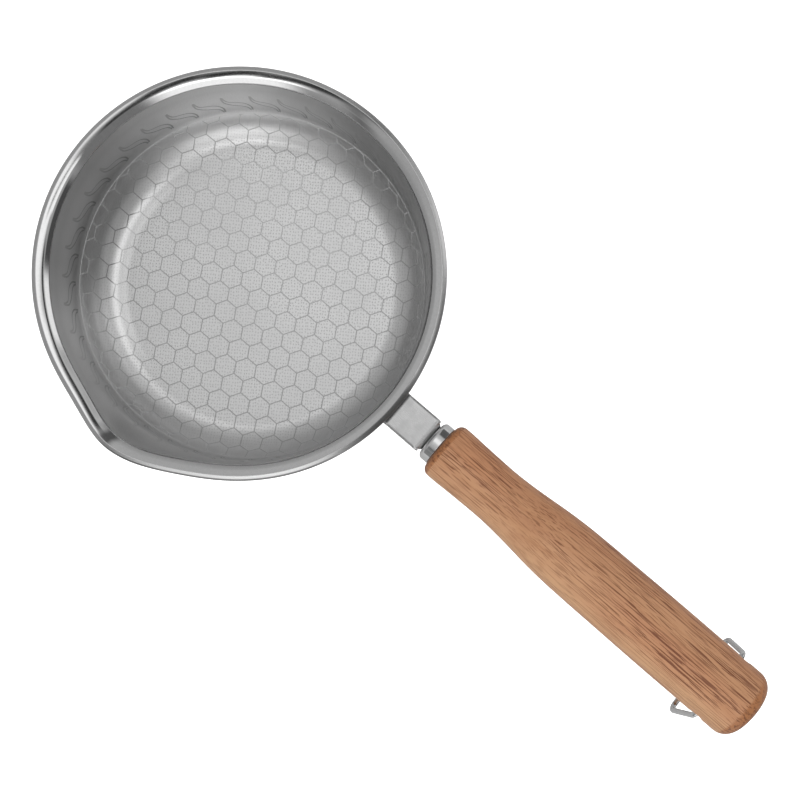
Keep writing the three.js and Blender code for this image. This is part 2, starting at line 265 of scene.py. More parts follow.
def revolve(mesh, path, sides, place, skip=None):
    """Turns a path of (along, radius) about an axis; the free side is on the path's left. Returns the rows of vertices."""
    w = np.linspace(0, 2 * math.pi, sides, endpoint=False)
    closed = np.allclose(path.p[0], path.p[-1])
    rows = []
    for k, (x, r) in enumerate(path.p):
        if closed and k == len(path.p) - 1:
            rows.append(rows[0])
        elif r < 1e-6:
            rows.append(np.repeat(mesh.add(place(x, 0.0, w[:1])), sides))
        else:
            rows.append(mesh.add(place(x, r, w)))

    def out(h):
        return place(-math.sin(rad(h)), math.cos(rad(h)), w)

    for i in range(len(rows) - 1):
        n0, n1 = out(path.b[i]), out(path.a[i + 1])
        mesh.strip(rows[i], rows[i + 1], n0, n1, skip and (lambda j, i=i: skip(i, j)))
    return rows


def about_handle(x, r, w):
    return np.stack([np.full(len(w), x), r * np.sin(w), r * np.cos(w)], -1)


def about_z(x, r, w):
    return np.stack([r * np.cos(w), r * np.sin(w), np.full(len(w), x)], -1)


# ---------------------------------------------------------------- materials
def node_material(name):
    m = bpy.data.materials.new(name)
    m.use_nodes = True
    nt = m.node_tree
    nt.nodes.clear()
    out = nt.nodes.new("ShaderNodeOutputMaterial")
    bsdf = nt.nodes.new("ShaderNodeBsdfPrincipled")
    nt.links.new(bsdf.outputs[0], out.inputs[0])
    return m, nt, bsdf


class Nodes:
    """Short names for the few node kinds that the materials use."""

    def __init__(self, nt):
        self.nt = nt

    def link(self, a, b):
        self.nt.links.new(a, b)

    def new(self, kind, **props):
        n = self.nt.nodes.new(kind)
        for k, v in props.items():
            setattr(n, k, v)
        return n

    def put(self, socket, value):
        if isinstance(value, bpy.types.NodeSocket):
            self.link(value, socket)
        else:
            socket.default_value = value

    def math(self, op, a, b=None, c=None, clamp=False):
        n = self.new("ShaderNodeMath", operation=op, use_clamp=clamp)
        self.put(n.inputs[0], a)
        if b is not None:
            self.put(n.inputs[1], b)
        if c is not None:
            self.put(n.inputs[2], c)
        return n.outputs[0]

    def vmath(self, op, a, b=None, out=0):
        n = self.new("ShaderNodeVectorMath", operation=op)
        self.put(n.inputs[0], a)
        if b is not None:
            self.put(n.inputs[1], b)
        return n.outputs[out]

    def object_coords(self):
        return self.new("ShaderNodeTexCoord").outputs["Object"]

    def uv(self, name):
        return self.new("ShaderNodeUVMap", uv_map=name).outputs[0]

    def mapping(self, vector, location=(0, 0, 0), rotation=(0, 0, 0), scale=(1, 1, 1)):
        n = self.new("ShaderNodeMapping")
        self.link(vector, n.inputs["Vector"])
        n.inputs["Location"].default_value = location
        n.inputs["Rotation"].default_value = rotation
        n.inputs["Scale"].default_value = scale
        return n.outputs[0]

    def noise(self, vector, scale, detail=2.0, rough=0.5, distortion=0.0):
        n = self.new("ShaderNodeTexNoise")
        self.link(vector, n.inputs["Vector"])
        n.inputs["Scale"].default_value = scale
        n.inputs["Detail"].default_value = detail
        n.inputs["Roughness"].default_value = rough
        n.inputs["Distortion"].default_value = distortion
        return n.outputs["Fac"]

    def voronoi(self, vector, scale, feature="F1", randomness=1.0, out="Distance", flat=False):
        n = self.new("ShaderNodeTexVoronoi", feature=feature, voronoi_dimensions="2D" if flat else "3D")
        self.link(vector, n.inputs["Vector"])
        n.inputs["Scale"].default_value = scale
        n.inputs["Randomness"].default_value = randomness
        return n.outputs[out]

    def ramp(self, fac, stops, interpolation="LINEAR"):
        n = self.new("ShaderNodeValToRGB")
        self.link(fac, n.inputs[0])
        cr = n.color_ramp
        cr.interpolation = interpolation
        while len(cr.elements) < len(stops):
            cr.elements.new(0.5)
        for e, (pos, col) in zip(cr.elements, stops):
            e.position = pos
            e.color = (*col, 1) if len(col) == 3 else col
        return n.outputs[0]

    def remap(self, value, a, b, c, d):
        n = self.new("ShaderNodeMapRange")
        self.link(value, n.inputs[0])
        for i, v in enumerate((a, b, c, d)):
            n.inputs[i + 1].default_value = v
        return n.outputs[0]

    def mix(self, fac, a, b, blend="MIX"):
        n = self.new("ShaderNodeMix", data_type="RGBA", blend_type=blend)
        self.put(n.inputs[0], fac)
        for s, v in ((n.inputs[6], a), (n.inputs[7], b)):
            if isinstance(v, bpy.types.NodeSocket):
                self.link(v, s)
            else:
                s.default_value = (*v, 1)
        return n.outputs[2]

    def bump(self, height, strength, distance, normal=None):
        n = self.new("ShaderNodeBump")
        self.link(height, n.inputs["Height"])
        n.inputs["Strength"].default_value = strength
        n.inputs["Distance"].default_value = distance
        if normal is not None:
            self.link(normal, n.inputs["Normal"])
        return n.outputs[0]


def steel(name, colour, rough, brush=None, brush_scale=(1, 1, 1), coords="object", bump=0.1, smudge=0.05, grain=4000.0):
    """Stainless steel: fine grain along one direction, and a slow change of gloss where it has been handled."""
    m, nt, b = node_material(name)
    n = Nodes(nt)
    p = n.object_coords() if coords == "object" else n.uv(coords)
    lines = n.noise(n.mapping(p, rotation=brush or (0, 0, 0), scale=brush_scale), grain, 3.0, 0.6)
    slow = n.noise(p, 35.0, 3.0, 0.55)
    tone = n.mix(n.remap(lines, 0.3, 0.7, 0.0, 1.0), tuple(c * 0.93 for c in colour), colour)
    n.link(n.mix(n.remap(slow, 0.3, 0.7, 0.0, 0.35), tone, tuple(c * 0.95 for c in colour)), b.inputs["Base Color"])
    r = n.math("ADD", n.remap(lines, 0.25, 0.75, rough * 0.85, rough * 1.15), n.remap(slow, 0.3, 0.7, -smudge, smudge), clamp=True)
    n.link(r, b.inputs["Roughness"])
    b.inputs["Metallic"].default_value = 1.0
    n.link(n.bump(lines, bump, 0.00005), b.inputs["Normal"])
    return m


# ---------------------------------------------------------------- bowl: one profile, drawn all round
def bowl_paths():
    """Inner path (centre to crease), bead and outer path as points with headings, in (radius, height)."""
    # the rolled edge first, from the rim's outside and top: a crest, a band sloping outwards, and the curl under it
    edge = Path(0.0, 0.0, LIP_OUT)
    edge.arc(0.32, -25.0 - LIP_OUT, 9)
    edge.arc(6.9, -15.0, 8)
    edge.arc(0.75, -50.0, 7)
    edge.arc(0.42, -135.0, 10)
    roll = np.array(edge.p)
    crease = np.array([RIM_R, HEIGHT]) - roll.max(axis=0)
    bead, bead_h = roll + crease, np.array(edge.a)
    # back from the crease: lip, bend, wall; the wall's lean closes the path onto the fillet
    lip_start = crease.copy()
    for r, steep, shallow in ((LIP_R[0], LIP_MID, LIP_OUT), (LIP_R[1], LIP_IN, LIP_MID)):
        lip_start -= r * np.array(
            [math.sin(rad(steep)) - math.sin(rad(shallow)), math.cos(rad(shallow)) - math.cos(rad(steep))]
        )
    lean = 2.0
    for _ in range(30):
        h = 90 - lean
        wall_top = lip_start - BEND_R * np.array(
            [math.sin(rad(h)) - math.sin(rad(LIP_IN)), math.cos(rad(LIP_IN)) - math.cos(rad(h))]
        )
        foot = np.array([FLAT_R + FILLET_R * math.sin(rad(h)), FLAT_Z + FILLET_R * (1 - math.cos(rad(h)))])
        lean = math.degrees(math.atan2(wall_top[0] - foot[0], wall_top[1] - foot[1]))
    h = 90 - lean
    wall = float(np.linalg.norm(wall_top - foot))
    inner = Path(0, FLAT_Z, 0)
    inner.line(FLAT_R, 200)
    inner.arc(FILLET_R, h, 44)
    inner.line(wall, 120)
    top = len(inner.p) - 1
    inner.arc(BEND_R, LIP_IN - h, 10)
    inner.arc(LIP_R[1], LIP_MID - LIP_IN, 14)
    inner.arc(LIP_R[0], LIP_OUT - LIP_MID, 8)
    p = np.array(inner.p)
    head = np.array(inner.a)
    nrm = np.stack([np.sin(np.radians(head)), -np.cos(np.radians(head))], -1)  # towards the sheet
    outer = (p + nrm * SHEET)[::-1]
    outer_h = (head + 180)[::-1]
    return p, head, top, bead, bead_h, outer, outer_h


INNER, INNER_H, WALL_TOP, BEAD, BEAD_H, OUTER, OUTER_H = bowl_paths()
INNER_S = np.concatenate([[0], np.cumsum(np.linalg.norm(np.diff(INNER, axis=0), axis=1))])


def spout_push(phi, z):
    off = (np.degrees(phi) - SPOUT_AT + 540) % 360 - 180
    spread = np.where(off > 0, SPOUT_WIDE, SPOUT_STEEP)
    low = 1 - smooth((HEIGHT - z - SPOUT_FADE[0]) / (SPOUT_FADE[1] - SPOUT_FADE[0]))
    return SPOUT_OUT * low * np.exp(-(off**2) / (2 * spread**2))


def place(r, z, phi):
    """A profile point at an angle, with the spout."""
    rr = r + np.where(r > 60, spout_push(phi, z), 0.0)
    return np.stack([rr * np.cos(phi), rr * np.sin(phi), z + 0 * phi], -1)


def surface(r, z, heading, phi):
    """Points and outward normals of the drawn profile; the solid is on the right of the path."""
    h = 0.02
    p = place(r, z, phi)
    tr, tz = np.cos(np.radians(heading)), np.sin(np.radians(heading))
    along = place(r + tr * h, z + tz * h, phi) - place(r - tr * h, z - tz * h, phi)
    d = 1e-3
    around = place(r, z, phi + d) - place(r, z, phi - d)
    flat = np.abs(r) < 1e-6
    around[flat] = np.stack([-np.sin(phi), np.cos(phi), 0 * phi], -1)[flat]
    return p, unit(np.cross(along, around)) * 1.0


def hex_edge_distance(x, y):
    """Distance in the flat sheet to the nearest honeycomb line."""
    row = rad(HEX_ROW)
    a = np.array([[math.cos(row), math.sin(row)], [math.cos(row + math.pi / 3), math.sin(row + math.pi / 3)]]) * HEX_PITCH
    inv = np.linalg.inv(a.T)
    dx, dy = x - HEX_AT[0], y - HEX_AT[1]
    u = np.floor(inv[0, 0] * dx + inv[0, 1] * dy)
    v = np.floor(inv[1, 0] * dx + inv[1, 1] * dy)
    best = np.full(x.shape, 1e9)
    bx, by = np.zeros(x.shape), np.zeros(x.shape)
    for i in (0, 1):
        for j in (0, 1):
            qx = dx - (u + i) * a[0, 0] - (v + j) * a[1, 0]
            qy = dy - (u + i) * a[0, 1] - (v + j) * a[1, 1]
            d = qx * qx + qy * qy
            k = d < best
            best[k], bx[k], by[k] = d[k], qx[k], qy[k]
    e = np.zeros(x.shape)
    for t in (0, 60, 120):
        e = np.maximum(e, np.abs(bx * math.cos(row + rad(t)) + by * math.sin(row + rad(t))))
    return HEX_PITCH / 2 - e


# wave tongue: across (mm, towards +angle) and up the wall from the border line
TONGUE_KEYS = np.array(
    [(0.0, 0.9), (0.3, 4.1), (1.0, 7.2), (3.2, 9.9), (6.6, 11.8), (9.3, 14.2), (10.3, 17.7), (10.6, 22.3)]
)


def tongue_strokes():
    """Centre lines of one tongue's etched strokes, in (across, up)."""
    t = np.linspace(0, 1, len(TONGUE_KEYS))
    q = np.linspace(0, 1, 27)

    def spline(v):
        # Catmull-Rom through the keys
        pad = np.concatenate([[2 * v[0] - v[1]], v, [2 * v[-1] - v[-2]]])
        out = []
        for s in q:
            k = min(int(s * (len(v) - 1)), len(v) - 2)
            f = s * (len(v) - 1) - k
            a, b, c, d = pad[k : k + 4]
            out.append(0.5 * (2 * b + (c - a) * f + (2 * a - 5 * b + 4 * c - d) * f * f + (3 * b - a - 3 * c + d) * f**3))
        return np.array(out)

    line = np.stack([spline(TONGUE_KEYS[:, 0]), spline(TONGUE_KEYS[:, 1])], -1)
    tan = unit(np.gradient(line, axis=0))
    nrm = np.stack([-tan[:, 1], tan[:, 0]], -1)
    fat = (0.9 + 1.5 * np.exp(-(((q - 0.5) / 0.19) ** 2))) * np.sin(np.pi * np.clip(q, 0, 1)) ** 0.75
    left = line + nrm * fat[:, None]
    right = line - nrm * fat[:, None] * 0.75
    return [left[3:-1], right[3:-1]]


def flat_sheet():
    """The inside as triangles in the flat sheet, cut along every etched line: points, triangles, wave centre lines."""
    points, edges, index = [], [], {}

    def vid(p):
        k = (round(float(p[0]), 4), round(float(p[1]), 4))
        if k not in index:
            index[k] = len(points)
            points.append((float(p[0]), float(p[1])))
        return index[k]

    def poly(line, closed=False):
        ids = [vid(p) for p in line]
        for a, b in zip(ids, ids[1:] + (ids[:1] if closed else [])):
            if a != b:
                edges.append((a, b))

    row = rad(HEX_ROW)
    a1 = np.array([math.cos(row), math.sin(row)]) * HEX_PITCH
    a2 = np.array([math.cos(row + math.pi / 3), math.sin(row + math.pi / 3)]) * HEX_PITCH
    apothem, corner_r = HEX_PITCH / 2, HEX_PITCH / math.sqrt(3)
    turn = [row + math.pi / 6 + k * math.pi / 3 for k in range(6)]
    spokes = np.array([[math.cos(t), math.sin(t)] for t in turn])
    done = set()
    for i in range(-16, 17):
        for j in range(-16, 17):
            c = np.array(HEX_AT) + i * a1 + j * a2
            corners = c + corner_r * spokes
            reach = np.linalg.norm(corners, axis=1)
            if reach.min() > RING_S:
                continue
            n = 8 if reach.max() > FLAT_R - 1.5 else 3
            loop = []
            inset = c + (corners - c) * (1 - HEX_W / 2 / apothem)
            for k in range(6):
                for m in range(n):
                    loop.append(inset[k] + (inset[(k + 1) % 6] - inset[k]) * m / n)
            poly(loop, True)
            for k in range(6):
                p, q = corners[k], corners[(k + 1) % 6]
                key = tuple(sorted([(round(p[0], 2), round(p[1], 2)), (round(q[0], 2), round(q[1], 2))]))
                if key not in done:
                    done.add(key)
                    poly([p + (q - p) * m / n for m in range(n + 1)])
            if n == 8:
                for f in (0.25, 0.5, 0.75):
                    for m in range(0, len(loop), 2):
                        vid(c + (loop[m] - c) * f)
            vid(c)
    turns = np.linspace(0, 2 * math.pi, COLUMNS, endpoint=False)
    ring = np.stack([np.cos(turns), np.sin(turns)], -1)
    for s in (RING_S - HEX_W / 2, RING_S, RING_S + HEX_W / 2):
        poly(ring * s, True)
    strokes = []
    for k in range(TONGUES):
        for line in tongue_strokes():
            tan = unit(np.gradient(line, axis=0))
            nrm = np.stack([-tan[:, 1], tan[:, 0]], -1)
            for off in (-TONGUE_W / 2, 0.0, TONGUE_W / 2):
                w = line + nrm * off
                phi = 2 * math.pi * k / TONGUES + w[:, 0] / WALL_R + 0.0782
                s = RING_S + w[:, 1]
                poly(np.stack([s * np.cos(phi), s * np.sin(phi)], -1))
                if off == 0:
                    strokes.append(np.stack([phi, s], -1))
    top_s = INNER_S[WALL_TOP]
    for s in np.arange(RING_S + 2.2, top_s - 1.0, 2.4):
        for p in ring * s:
            vid(p)
    poly(ring * top_s, True)
    out = delaunay_2d_cdt([Vector(p) for p in points], edges, [], 0, 1e-5)
    xy = np.array([tuple(v) for v in out[0]])
    tri = np.array([f for f in out[2]], int)
    s = np.linalg.norm(xy, axis=1)
    tri = tri[s[tri].mean(1) < top_s + 0.02]
    used = np.unique(tri)
    back = np.full(len(xy), -1)
    back[used] = np.arange(len(used))
    xy, tri = xy[used], back[tri]
    a = xy[tri]
    e, f = a[:, 1] - a[:, 0], a[:, 2] - a[:, 0]
    area = e[:, 0] * f[:, 1] - e[:, 1] * f[:, 0]
    tri = np.where(area[:, None] < 0, tri[:, ::-1], tri)
    return xy, tri, strokes


def bowl_object(materials):
    """Etched inside, then lip, bead and outside as rows that share its border. One closed skin."""
    xy, tri, strokes = flat_sheet()
    turns = np.linspace(0, 2 * math.pi, COLUMNS, endpoint=False)
    s = np.linalg.norm(xy, axis=1)
    phi = np.arctan2(xy[:, 1], xy[:, 0])
    line = np.concatenate([np.concatenate([np.linspace(k[:-1], k[1:], 6)[:-1].reshape(-1, 2), k[-1:]]) for k in strokes])
    tree = KDTree(len(line))
    for i, (t, up_s) in enumerate(line):
        tree.insert((WALL_R * math.cos(t), WALL_R * math.sin(t), up_s), i)
    tree.balance()

    def etching(x, y):
        """How deep the etching is at points of the flat sheet, and which kind of line they are in."""
        ss, ph = np.hypot(x, y), np.arctan2(y, x)
        d = np.minimum(np.where(ss < RING_S, hex_edge_distance(x, y), 9.0), np.abs(ss - RING_S))
        d_wave = np.full(x.shape, 9.0)
        for i in np.where((ss > RING_S) & (ss < RING_S + 28))[0]:
            d_wave[i] = tree.find((WALL_R * math.cos(ph[i]), WALL_R * math.sin(ph[i]), ss[i]))[2]
        deep = HEX_DEEP * np.clip(1 - d / (HEX_W / 2), 0, 1)
        deep = np.maximum(deep, TONGUE_DEEP * np.clip(1 - d_wave / (TONGUE_W / 2), 0, 1))
        return deep, d < HEX_W / 2 * 0.98, d_wave < TONGUE_W / 2 * 0.98, np.abs(ss - RING_S) < HEX_W / 2 * 0.98

    r, z, head = (np.interp(s, INNER_S, v) for v in (INNER[:, 0], INNER[:, 1], INNER_H))
    p, n_in = surface(r, z, head, phi)
    deep = etching(xy[:, 0], xy[:, 1])[0]
    p_in = p - n_in * deep[:, None]
    mid = xy[tri].mean(1)
    _, etched, waved, ringed = etching(mid[:, 0], mid[:, 1])
    t = p_in[tri]
    facet = unit(np.cross(t[:, 1] - t[:, 0], t[:, 2] - t[:, 0]))

    mesh = Mesh()
    mesh.add(p_in)
    kinds = []
    # the etched inside: smooth, but each side of an etched line is its own facet
    for i, f in enumerate(tri):
        cut = etched[i] or waved[i]
        mesh.f.append([int(v) for v in f])
        mesh.n.extend([facet[i] if cut else n_in[v] for v in f])
        kinds.append(-1 if ringed[i] else 1 if etched[i] else 2 if waved[i] else 0)

    # rows: point, heading before, heading after, and what lies above it
    rows = [(INNER[WALL_TOP], None, INNER_H[WALL_TOP], 0)]
    for k in range(WALL_TOP + 1, len(INNER) - 1):
        rows.append((INNER[k], INNER_H[k], INNER_H[k], 0 if k < WALL_TOP + 8 else 3))
    rows.append((INNER[-1], INNER_H[-1], BEAD_H[0], 4))
    for k in range(1, len(BEAD) - 1):
        rows.append((BEAD[k], BEAD_H[k], BEAD_H[k], 4))
    last = int(np.argmax(OUTER[:, 0] < BEAD[-1][0] - 0.75))
    back = math.degrees(math.atan2(*(OUTER[last] - BEAD[-1])[::-1]))
    rows.append((BEAD[-1], BEAD_H[-1], back, 5))
    rows.append((OUTER[last], back, OUTER_H[last], 5))
    for k in range(last + 1, len(OUTER)):
        turned = abs(OUTER_H[k] - OUTER_H[last])
        far = np.linalg.norm(OUTER[k] - OUTER[last])
        if OUTER[k][0] > 3.0 and (turned > 4.0 or far > (3.0 if OUTER[k][1] > 20 else 9.0)):
            rows.append((OUTER[k], OUTER_H[k], OUTER_H[k], 5))
            last = k

    def ring(point, heading):
        return surface(*(np.full(COLUMNS, v) for v in (point[0], point[1], heading)), turns)

    edge = np.where(np.abs(s - INNER_S[WALL_TOP]) < 1e-3)[0]
    column = np.round(phi[edge] / (2 * math.pi) * COLUMNS).astype(int) % COLUMNS
    first = np.full(COLUMNS, -1)
    first[column] = edge
    assert (first >= 0).all() and len(edge) == COLUMNS
    ids = [first]
    for point, before, after, kind in rows[1:]:
        ids.append(mesh.add(ring(point, before)[0]))
    at = np.array([q[0] for q in rows])
    along = INNER_S[WALL_TOP] + np.concatenate([[0], np.cumsum(np.linalg.norm(np.diff(at, axis=0), axis=1))])
    for i in range(len(rows) - 1):
        n0, n1 = ring(rows[i][0], rows[i][2])[1], ring(rows[i + 1][0], rows[i + 1][1])[1]
        mesh.strip(ids[i], ids[i + 1], n0, n1)
        kinds += [rows[i][3]] * COLUMNS
    centre = mesh.add([[0, 0, FLAT_Z - SHEET]])[0]
    down = np.array([0, 0, -1.0])
    for j in range(COLUMNS):
        mesh.face((ids[-1][j], ids[-1][(j + 1) % COLUMNS], centre), (down, down, down))
        kinds.append(5)

    # the sheet laid flat, for the patterns, and the same as two discs side by side for baking
    total = along[-1] + at[-1][0]
    length = np.concatenate([s, np.repeat(along[1:], COLUMNS), [total]])
    turn = np.concatenate([phi, np.tile(turns, len(rows) - 1), [0.0]])
    flat = np.stack([np.cos(turn), np.sin(turn)], -1)
    inside_s = along[[q[3] for q in rows].index(5)]
    bake = []
    for f, k in zip(mesh.f, kinds):
        for v in f:
            if k < 5:
                bake.append(0.36 + flat[v] * (0.355 * length[v] / inside_s))
            else:
                bake.append(0.78 + flat[v] * (0.215 * (total - length[v]) / (total - inside_s)))
    return make_object(
        "bowl",
        mesh.v,
        mesh.f,
        loop_normals=mesh.n,
        materials=materials,
        material_index=[6 if k < 0 else k for k in kinds],
        uvs={"sheet": flat * length[:, None] * MM},
        loop_uvs={"OFBake": bake},
    )


def rolled_edge():
    """Satin steel of the rolled edge; beside the handle its outermost turn is darkened by a painted dark reflection,
    and painted shade darkens it where the bracket meets it.
    """
    m, nt, b = node_material("rolled_bead_steel")
    n = Nodes(nt)
    p = n.object_coords()
    grain = n.noise(p, 2400.0, 3.0, 0.6)
    slow = n.noise(p, 60.0, 2.0, 0.5)
    sep = n.new("ShaderNodeSeparateXYZ")
    n.link(p, sep.inputs[0])
    turn = n.math("ARCTAN2", sep.outputs[1], sep.outputs[0])
    far = n.vmath("LENGTH", n.uv("sheet"), out=1)
    turn = n.math("ADD", turn, n.remap(slow, 0.3, 0.7, -0.05, 0.05))
    # painted dark reflection on the outermost turn beside the handle
    retoned = n.math("MULTIPLY", n.remap(turn, rad(-92), rad(-80), 0.0, 1.0), n.remap(turn, rad(-28), rad(-18), 1.0, 0.0))
    edge = (INNER_S[-1] + 1.35) * MM
    retoned = n.math("MULTIPLY", retoned, n.remap(far, edge, edge + 0.0003, 0.0, 0.78))
    tone = n.mix(n.remap(grain, 0.3, 0.7, 0.0, 1.0), (0.62, 0.62, 0.62), (0.7, 0.7, 0.7))
    # painted shade, darkest where the bracket meets it
    painted_shade = n.math("MULTIPLY", n.remap(turn, rad(-24), rad(-8), 0.0, 0.72), n.remap(turn, rad(6), rad(12), 1.0, 0.0))
    n.link(n.mix(n.math("MAXIMUM", retoned, painted_shade), tone, (0.09, 0.09, 0.09)), b.inputs["Base Color"])
    n.link(n.remap(grain, 0.3, 0.7, 0.27, 0.34), b.inputs["Roughness"])
    b.inputs["Metallic"].default_value = 1.0
    n.link(n.bump(grain, 0.05, 0.00005), b.inputs["Normal"])
    return m


def bowl_materials():
    colour = (0.805, 0.805, 0.805)
    # honeycomb cells: satin, with tiny pits and upright scratches
    cells, nt, b = node_material("etched_satin_steel")
    n = Nodes(nt)
    p = n.uv("sheet")
    turned = n.mapping(p, rotation=(0, 0, -rad(36.6)))
    brush = n.noise(n.mapping(turned, scale=(1.0, 0.09, 1.0)), 2600.0, 3.0, 0.65)
    pits = n.voronoi(n.mapping(turned, scale=(1.0, 0.85, 1.0)), 850.0, randomness=0.42, flat=True)
    out = n.vmath("LENGTH", p, out=1)
    pit = n.math("MULTIPLY", n.remap(pits, 0.14, 0.31, 1.0, 0.0), n.remap(out, 0.063, 0.072, 1.0, 0.0))
    slow = n.noise(p, 30.0, 2.0, 0.5)
    tone = n.mix(n.remap(brush, 0.3, 0.7, 0.0, 1.0), tuple(c * 0.92 for c in colour), tuple(min(1, c * 1.03) for c in colour))
    # the flat is duller than the wall, and painted shade darkens the strip below the lip
    tone = n.mix(n.remap(out, 0.067, 0.077, 1.0, 0.0), tone, (0.83, 0.83, 0.83), blend="MULTIPLY")
    tone = n.mix(n.remap(out, 0.086, 0.106, 0.0, 1.0), tone, (0.66, 0.66, 0.66), blend="MULTIPLY")
    # painted light and shade in sectors round the wall, and a painted highlight along the edge of the flat
    psep = n.new("ShaderNodeSeparateXYZ")
    n.link(p, psep.inputs[0])
    turn = n.math("WRAP", n.math("MULTIPLY", n.math("ARCTAN2", psep.outputs[1], psep.outputs[0]), -180 / math.pi), 360.0, 0.0)

    def painted_light_sector(start, stop, soft, ring):
        return n.math("MULTIPLY", n.math("MULTIPLY", n.remap(turn, start - soft, start + soft, 0.0, 1.0), n.remap(turn, stop - soft, stop + soft, 1.0, 0.0)), ring)

    wall = n.remap(out, 0.0605, 0.0645, 0.0, 1.0)
    foot = n.math("MULTIPLY", wall, n.remap(out, 0.068, 0.0715, 1.0, 0.0))
    highlight_band = n.math("MULTIPLY", n.remap(out, 0.0538, 0.0558, 0.0, 1.0), n.remap(out, 0.0605, 0.063, 1.0, 0.0))
    # factors below 1 are painted shade, above 1 painted light; the last one is the painted highlight
    for mask, k in (
        (painted_light_sector(135, 184, 9, wall), 0.72),
        (painted_light_sector(138, 182, 9, foot), 0.84),
        (painted_light_sector(198, 236, 8, wall), 1.16),
        (painted_light_sector(263, 301, 8, wall), 0.8),
        (painted_light_sector(111, 188, 11, highlight_band), 1.28),
    ):
        tone = n.mix(mask, tone, (k, k, k), blend="MULTIPLY")
    # fewer pits show in the painted highlight
    pit = n.math("MULTIPLY", pit, n.math("SUBTRACT", 1.0, n.math("MULTIPLY", painted_light_sector(111, 188, 11, highlight_band), 0.7)))
    n.link(n.mix(n.math("MULTIPLY", pit, 0.32), tone, (0.305, 0.305, 0.305)), b.inputs["Base Color"])
    rough = n.math("ADD", n.remap(brush, 0.3, 0.7, 0.26, 0.31), n.remap(slow, 0.3, 0.7, -0.02, 0.02))
    rough = n.math("ADD", rough, n.remap(out, 0.061, 0.066, 0.0, 0.1))
    n.link(n.math("ADD", rough, n.math("MULTIPLY", pit, 0.12), clamp=True), b.inputs["Roughness"])
    b.inputs["Metallic"].default_value = 1.0
    height = n.math("SUBTRACT", n.math("MULTIPLY", brush, 0.5), pit)
    n.link(n.bump(height, 0.22, 0.00005), b.inputs["Normal"])

    def etched_line(name, tones, retoned, low, high, rubbed=1.0, frosted=None, shade_factor=1.0, faded=1.0, spared=1.0, inner=0.0, highlight_strength=0.0):
        """Dull etched steel, rubbed paler on one side of the pan as far out as the given radius, and frosted up the
        wall; painted shade darkens one sector, and a painted highlight pales a band along the flat's edge.
        """
        m, nt, b = node_material(name)
        n = Nodes(nt)
        p = n.object_coords()
        speck = n.noise(p, 5200.0, 2.0, 0.6)
        slow = n.noise(p, 90.0, 2.0, 0.5)
        across = n.vmath("DOT_PRODUCT", p, (-0.35, 0.94, 0.0), out=1)
        rub = n.math("ADD", n.remap(across, -0.03, 0.055, 0.0, 1.0), n.remap(slow, 0.3, 0.7, -0.15, 0.15), clamp=True)
        out = n.vmath("LENGTH", n.vmath("MULTIPLY", p, (1, 1, 0)), out=1)
        rub = n.math("MULTIPLY", rub, n.remap(out, rubbed - 0.002, rubbed + 0.002, 1.0, 0.0))
        fresh = n.mix(n.remap(speck, 0.3, 0.7, 0.0, 1.0), (tones[0],) * 3, (tones[1],) * 3)
        tone = n.mix(rub, fresh, (retoned,) * 3)
        psep = n.new("ShaderNodeSeparateXYZ")
        n.link(p, psep.inputs[0])
        turn = n.math("WRAP", n.math("MULTIPLY", n.math("ARCTAN2", psep.outputs[1], psep.outputs[0]), -180 / math.pi), 360.0, 0.0)
        # painted shade over one sector, beyond the inner radius
        shade_mask = n.math("MULTIPLY", n.remap(turn, 126, 144, 0.0, 1.0), n.remap(turn, 175, 193, 1.0, 0.0))
        shade_mask = n.math("MULTIPLY", shade_mask, n.remap(out, inner - 0.001, inner + 0.001, 0.0, 1.0))
        tone = n.mix(shade_mask, tone, (shade_factor,) * 3, blend="MULTIPLY")
        fade = n.math("ADD", n.remap(turn, 40, 70, 1.0, 0.0), n.remap(turn, 225, 260, 0.0, 1.0), clamp=True)
        tone = n.mix(fade, tone, (faded,) * 3, blend="MULTIPLY")
        pale = n.math("MULTIPLY", n.remap(turn, 50, 70, 0.0, 1.0), n.remap(turn, 114, 134, 1.0, 0.0))
        tone = n.mix(pale, tone, (spared,) * 3, blend="MULTIPLY")
        # painted highlight: the lines pale along the flat's edge on one side
        highlight_mask = n.math("MULTIPLY", n.remap(turn, 100, 122, 0.0, 1.0), n.remap(turn, 177, 199, highlight_strength, 0.0))
        highlight_mask = n.math("MULTIPLY", highlight_mask, n.math("MULTIPLY", n.remap(out, 0.0548, 0.0565, 0.0, 1.0), n.remap(out, 0.06, 0.0615, 1.0, 0.0)))
        tone = n.mix(highlight_mask, tone, (0.84,) * 3)
        if frosted:
            frost = n.remap(n.vmath("LENGTH", n.uv("sheet"), out=1), frosted[0], frosted[1], 0.0, 1.0)
            tone = n.mix(n.math("MULTIPLY", frost, 0.8), tone, (frosted[2],) * 3)
            n.link(n.math("SUBTRACT", 1.0, n.math("MULTIPLY", frost, frosted[3])), b.inputs["Metallic"])
        else:
            b.inputs["Metallic"].default_value = 1.0
        n.link(tone, b.inputs["Base Color"])
        n.link(n.remap(speck, 0.3, 0.7, low, high), b.inputs["Roughness"])
        n.link(n.bump(speck, 0.2, 0.00003), b.inputs["Normal"])
        return m

    # painted shade over one sector for all three, and a painted highlight along the flat's edge for the honeycomb lines
    lines = etched_line("etched_line_steel", (0.38, 0.48), 0.6, 0.34, 0.46, rubbed=0.058, frosted=(0.066, 0.075, 0.6, 0.55), shade_factor=0.55, inner=0.061, highlight_strength=0.75)
    waves = etched_line("etched_wave_steel", (0.41, 0.5), 0.5, 0.3, 0.45, shade_factor=0.76, spared=1.3)
    border = etched_line("etched_border_steel", (0.78, 0.84), 0.82, 0.4, 0.5, frosted=(0.01, 0.02, 0.78, 0.5), shade_factor=0.86, faded=0.62)
    lip = steel("polished_lip_steel", (0.745, 0.745, 0.745), 0.07, bump=0.02, smudge=0.02, grain=900.0)
    bead = rolled_edge()

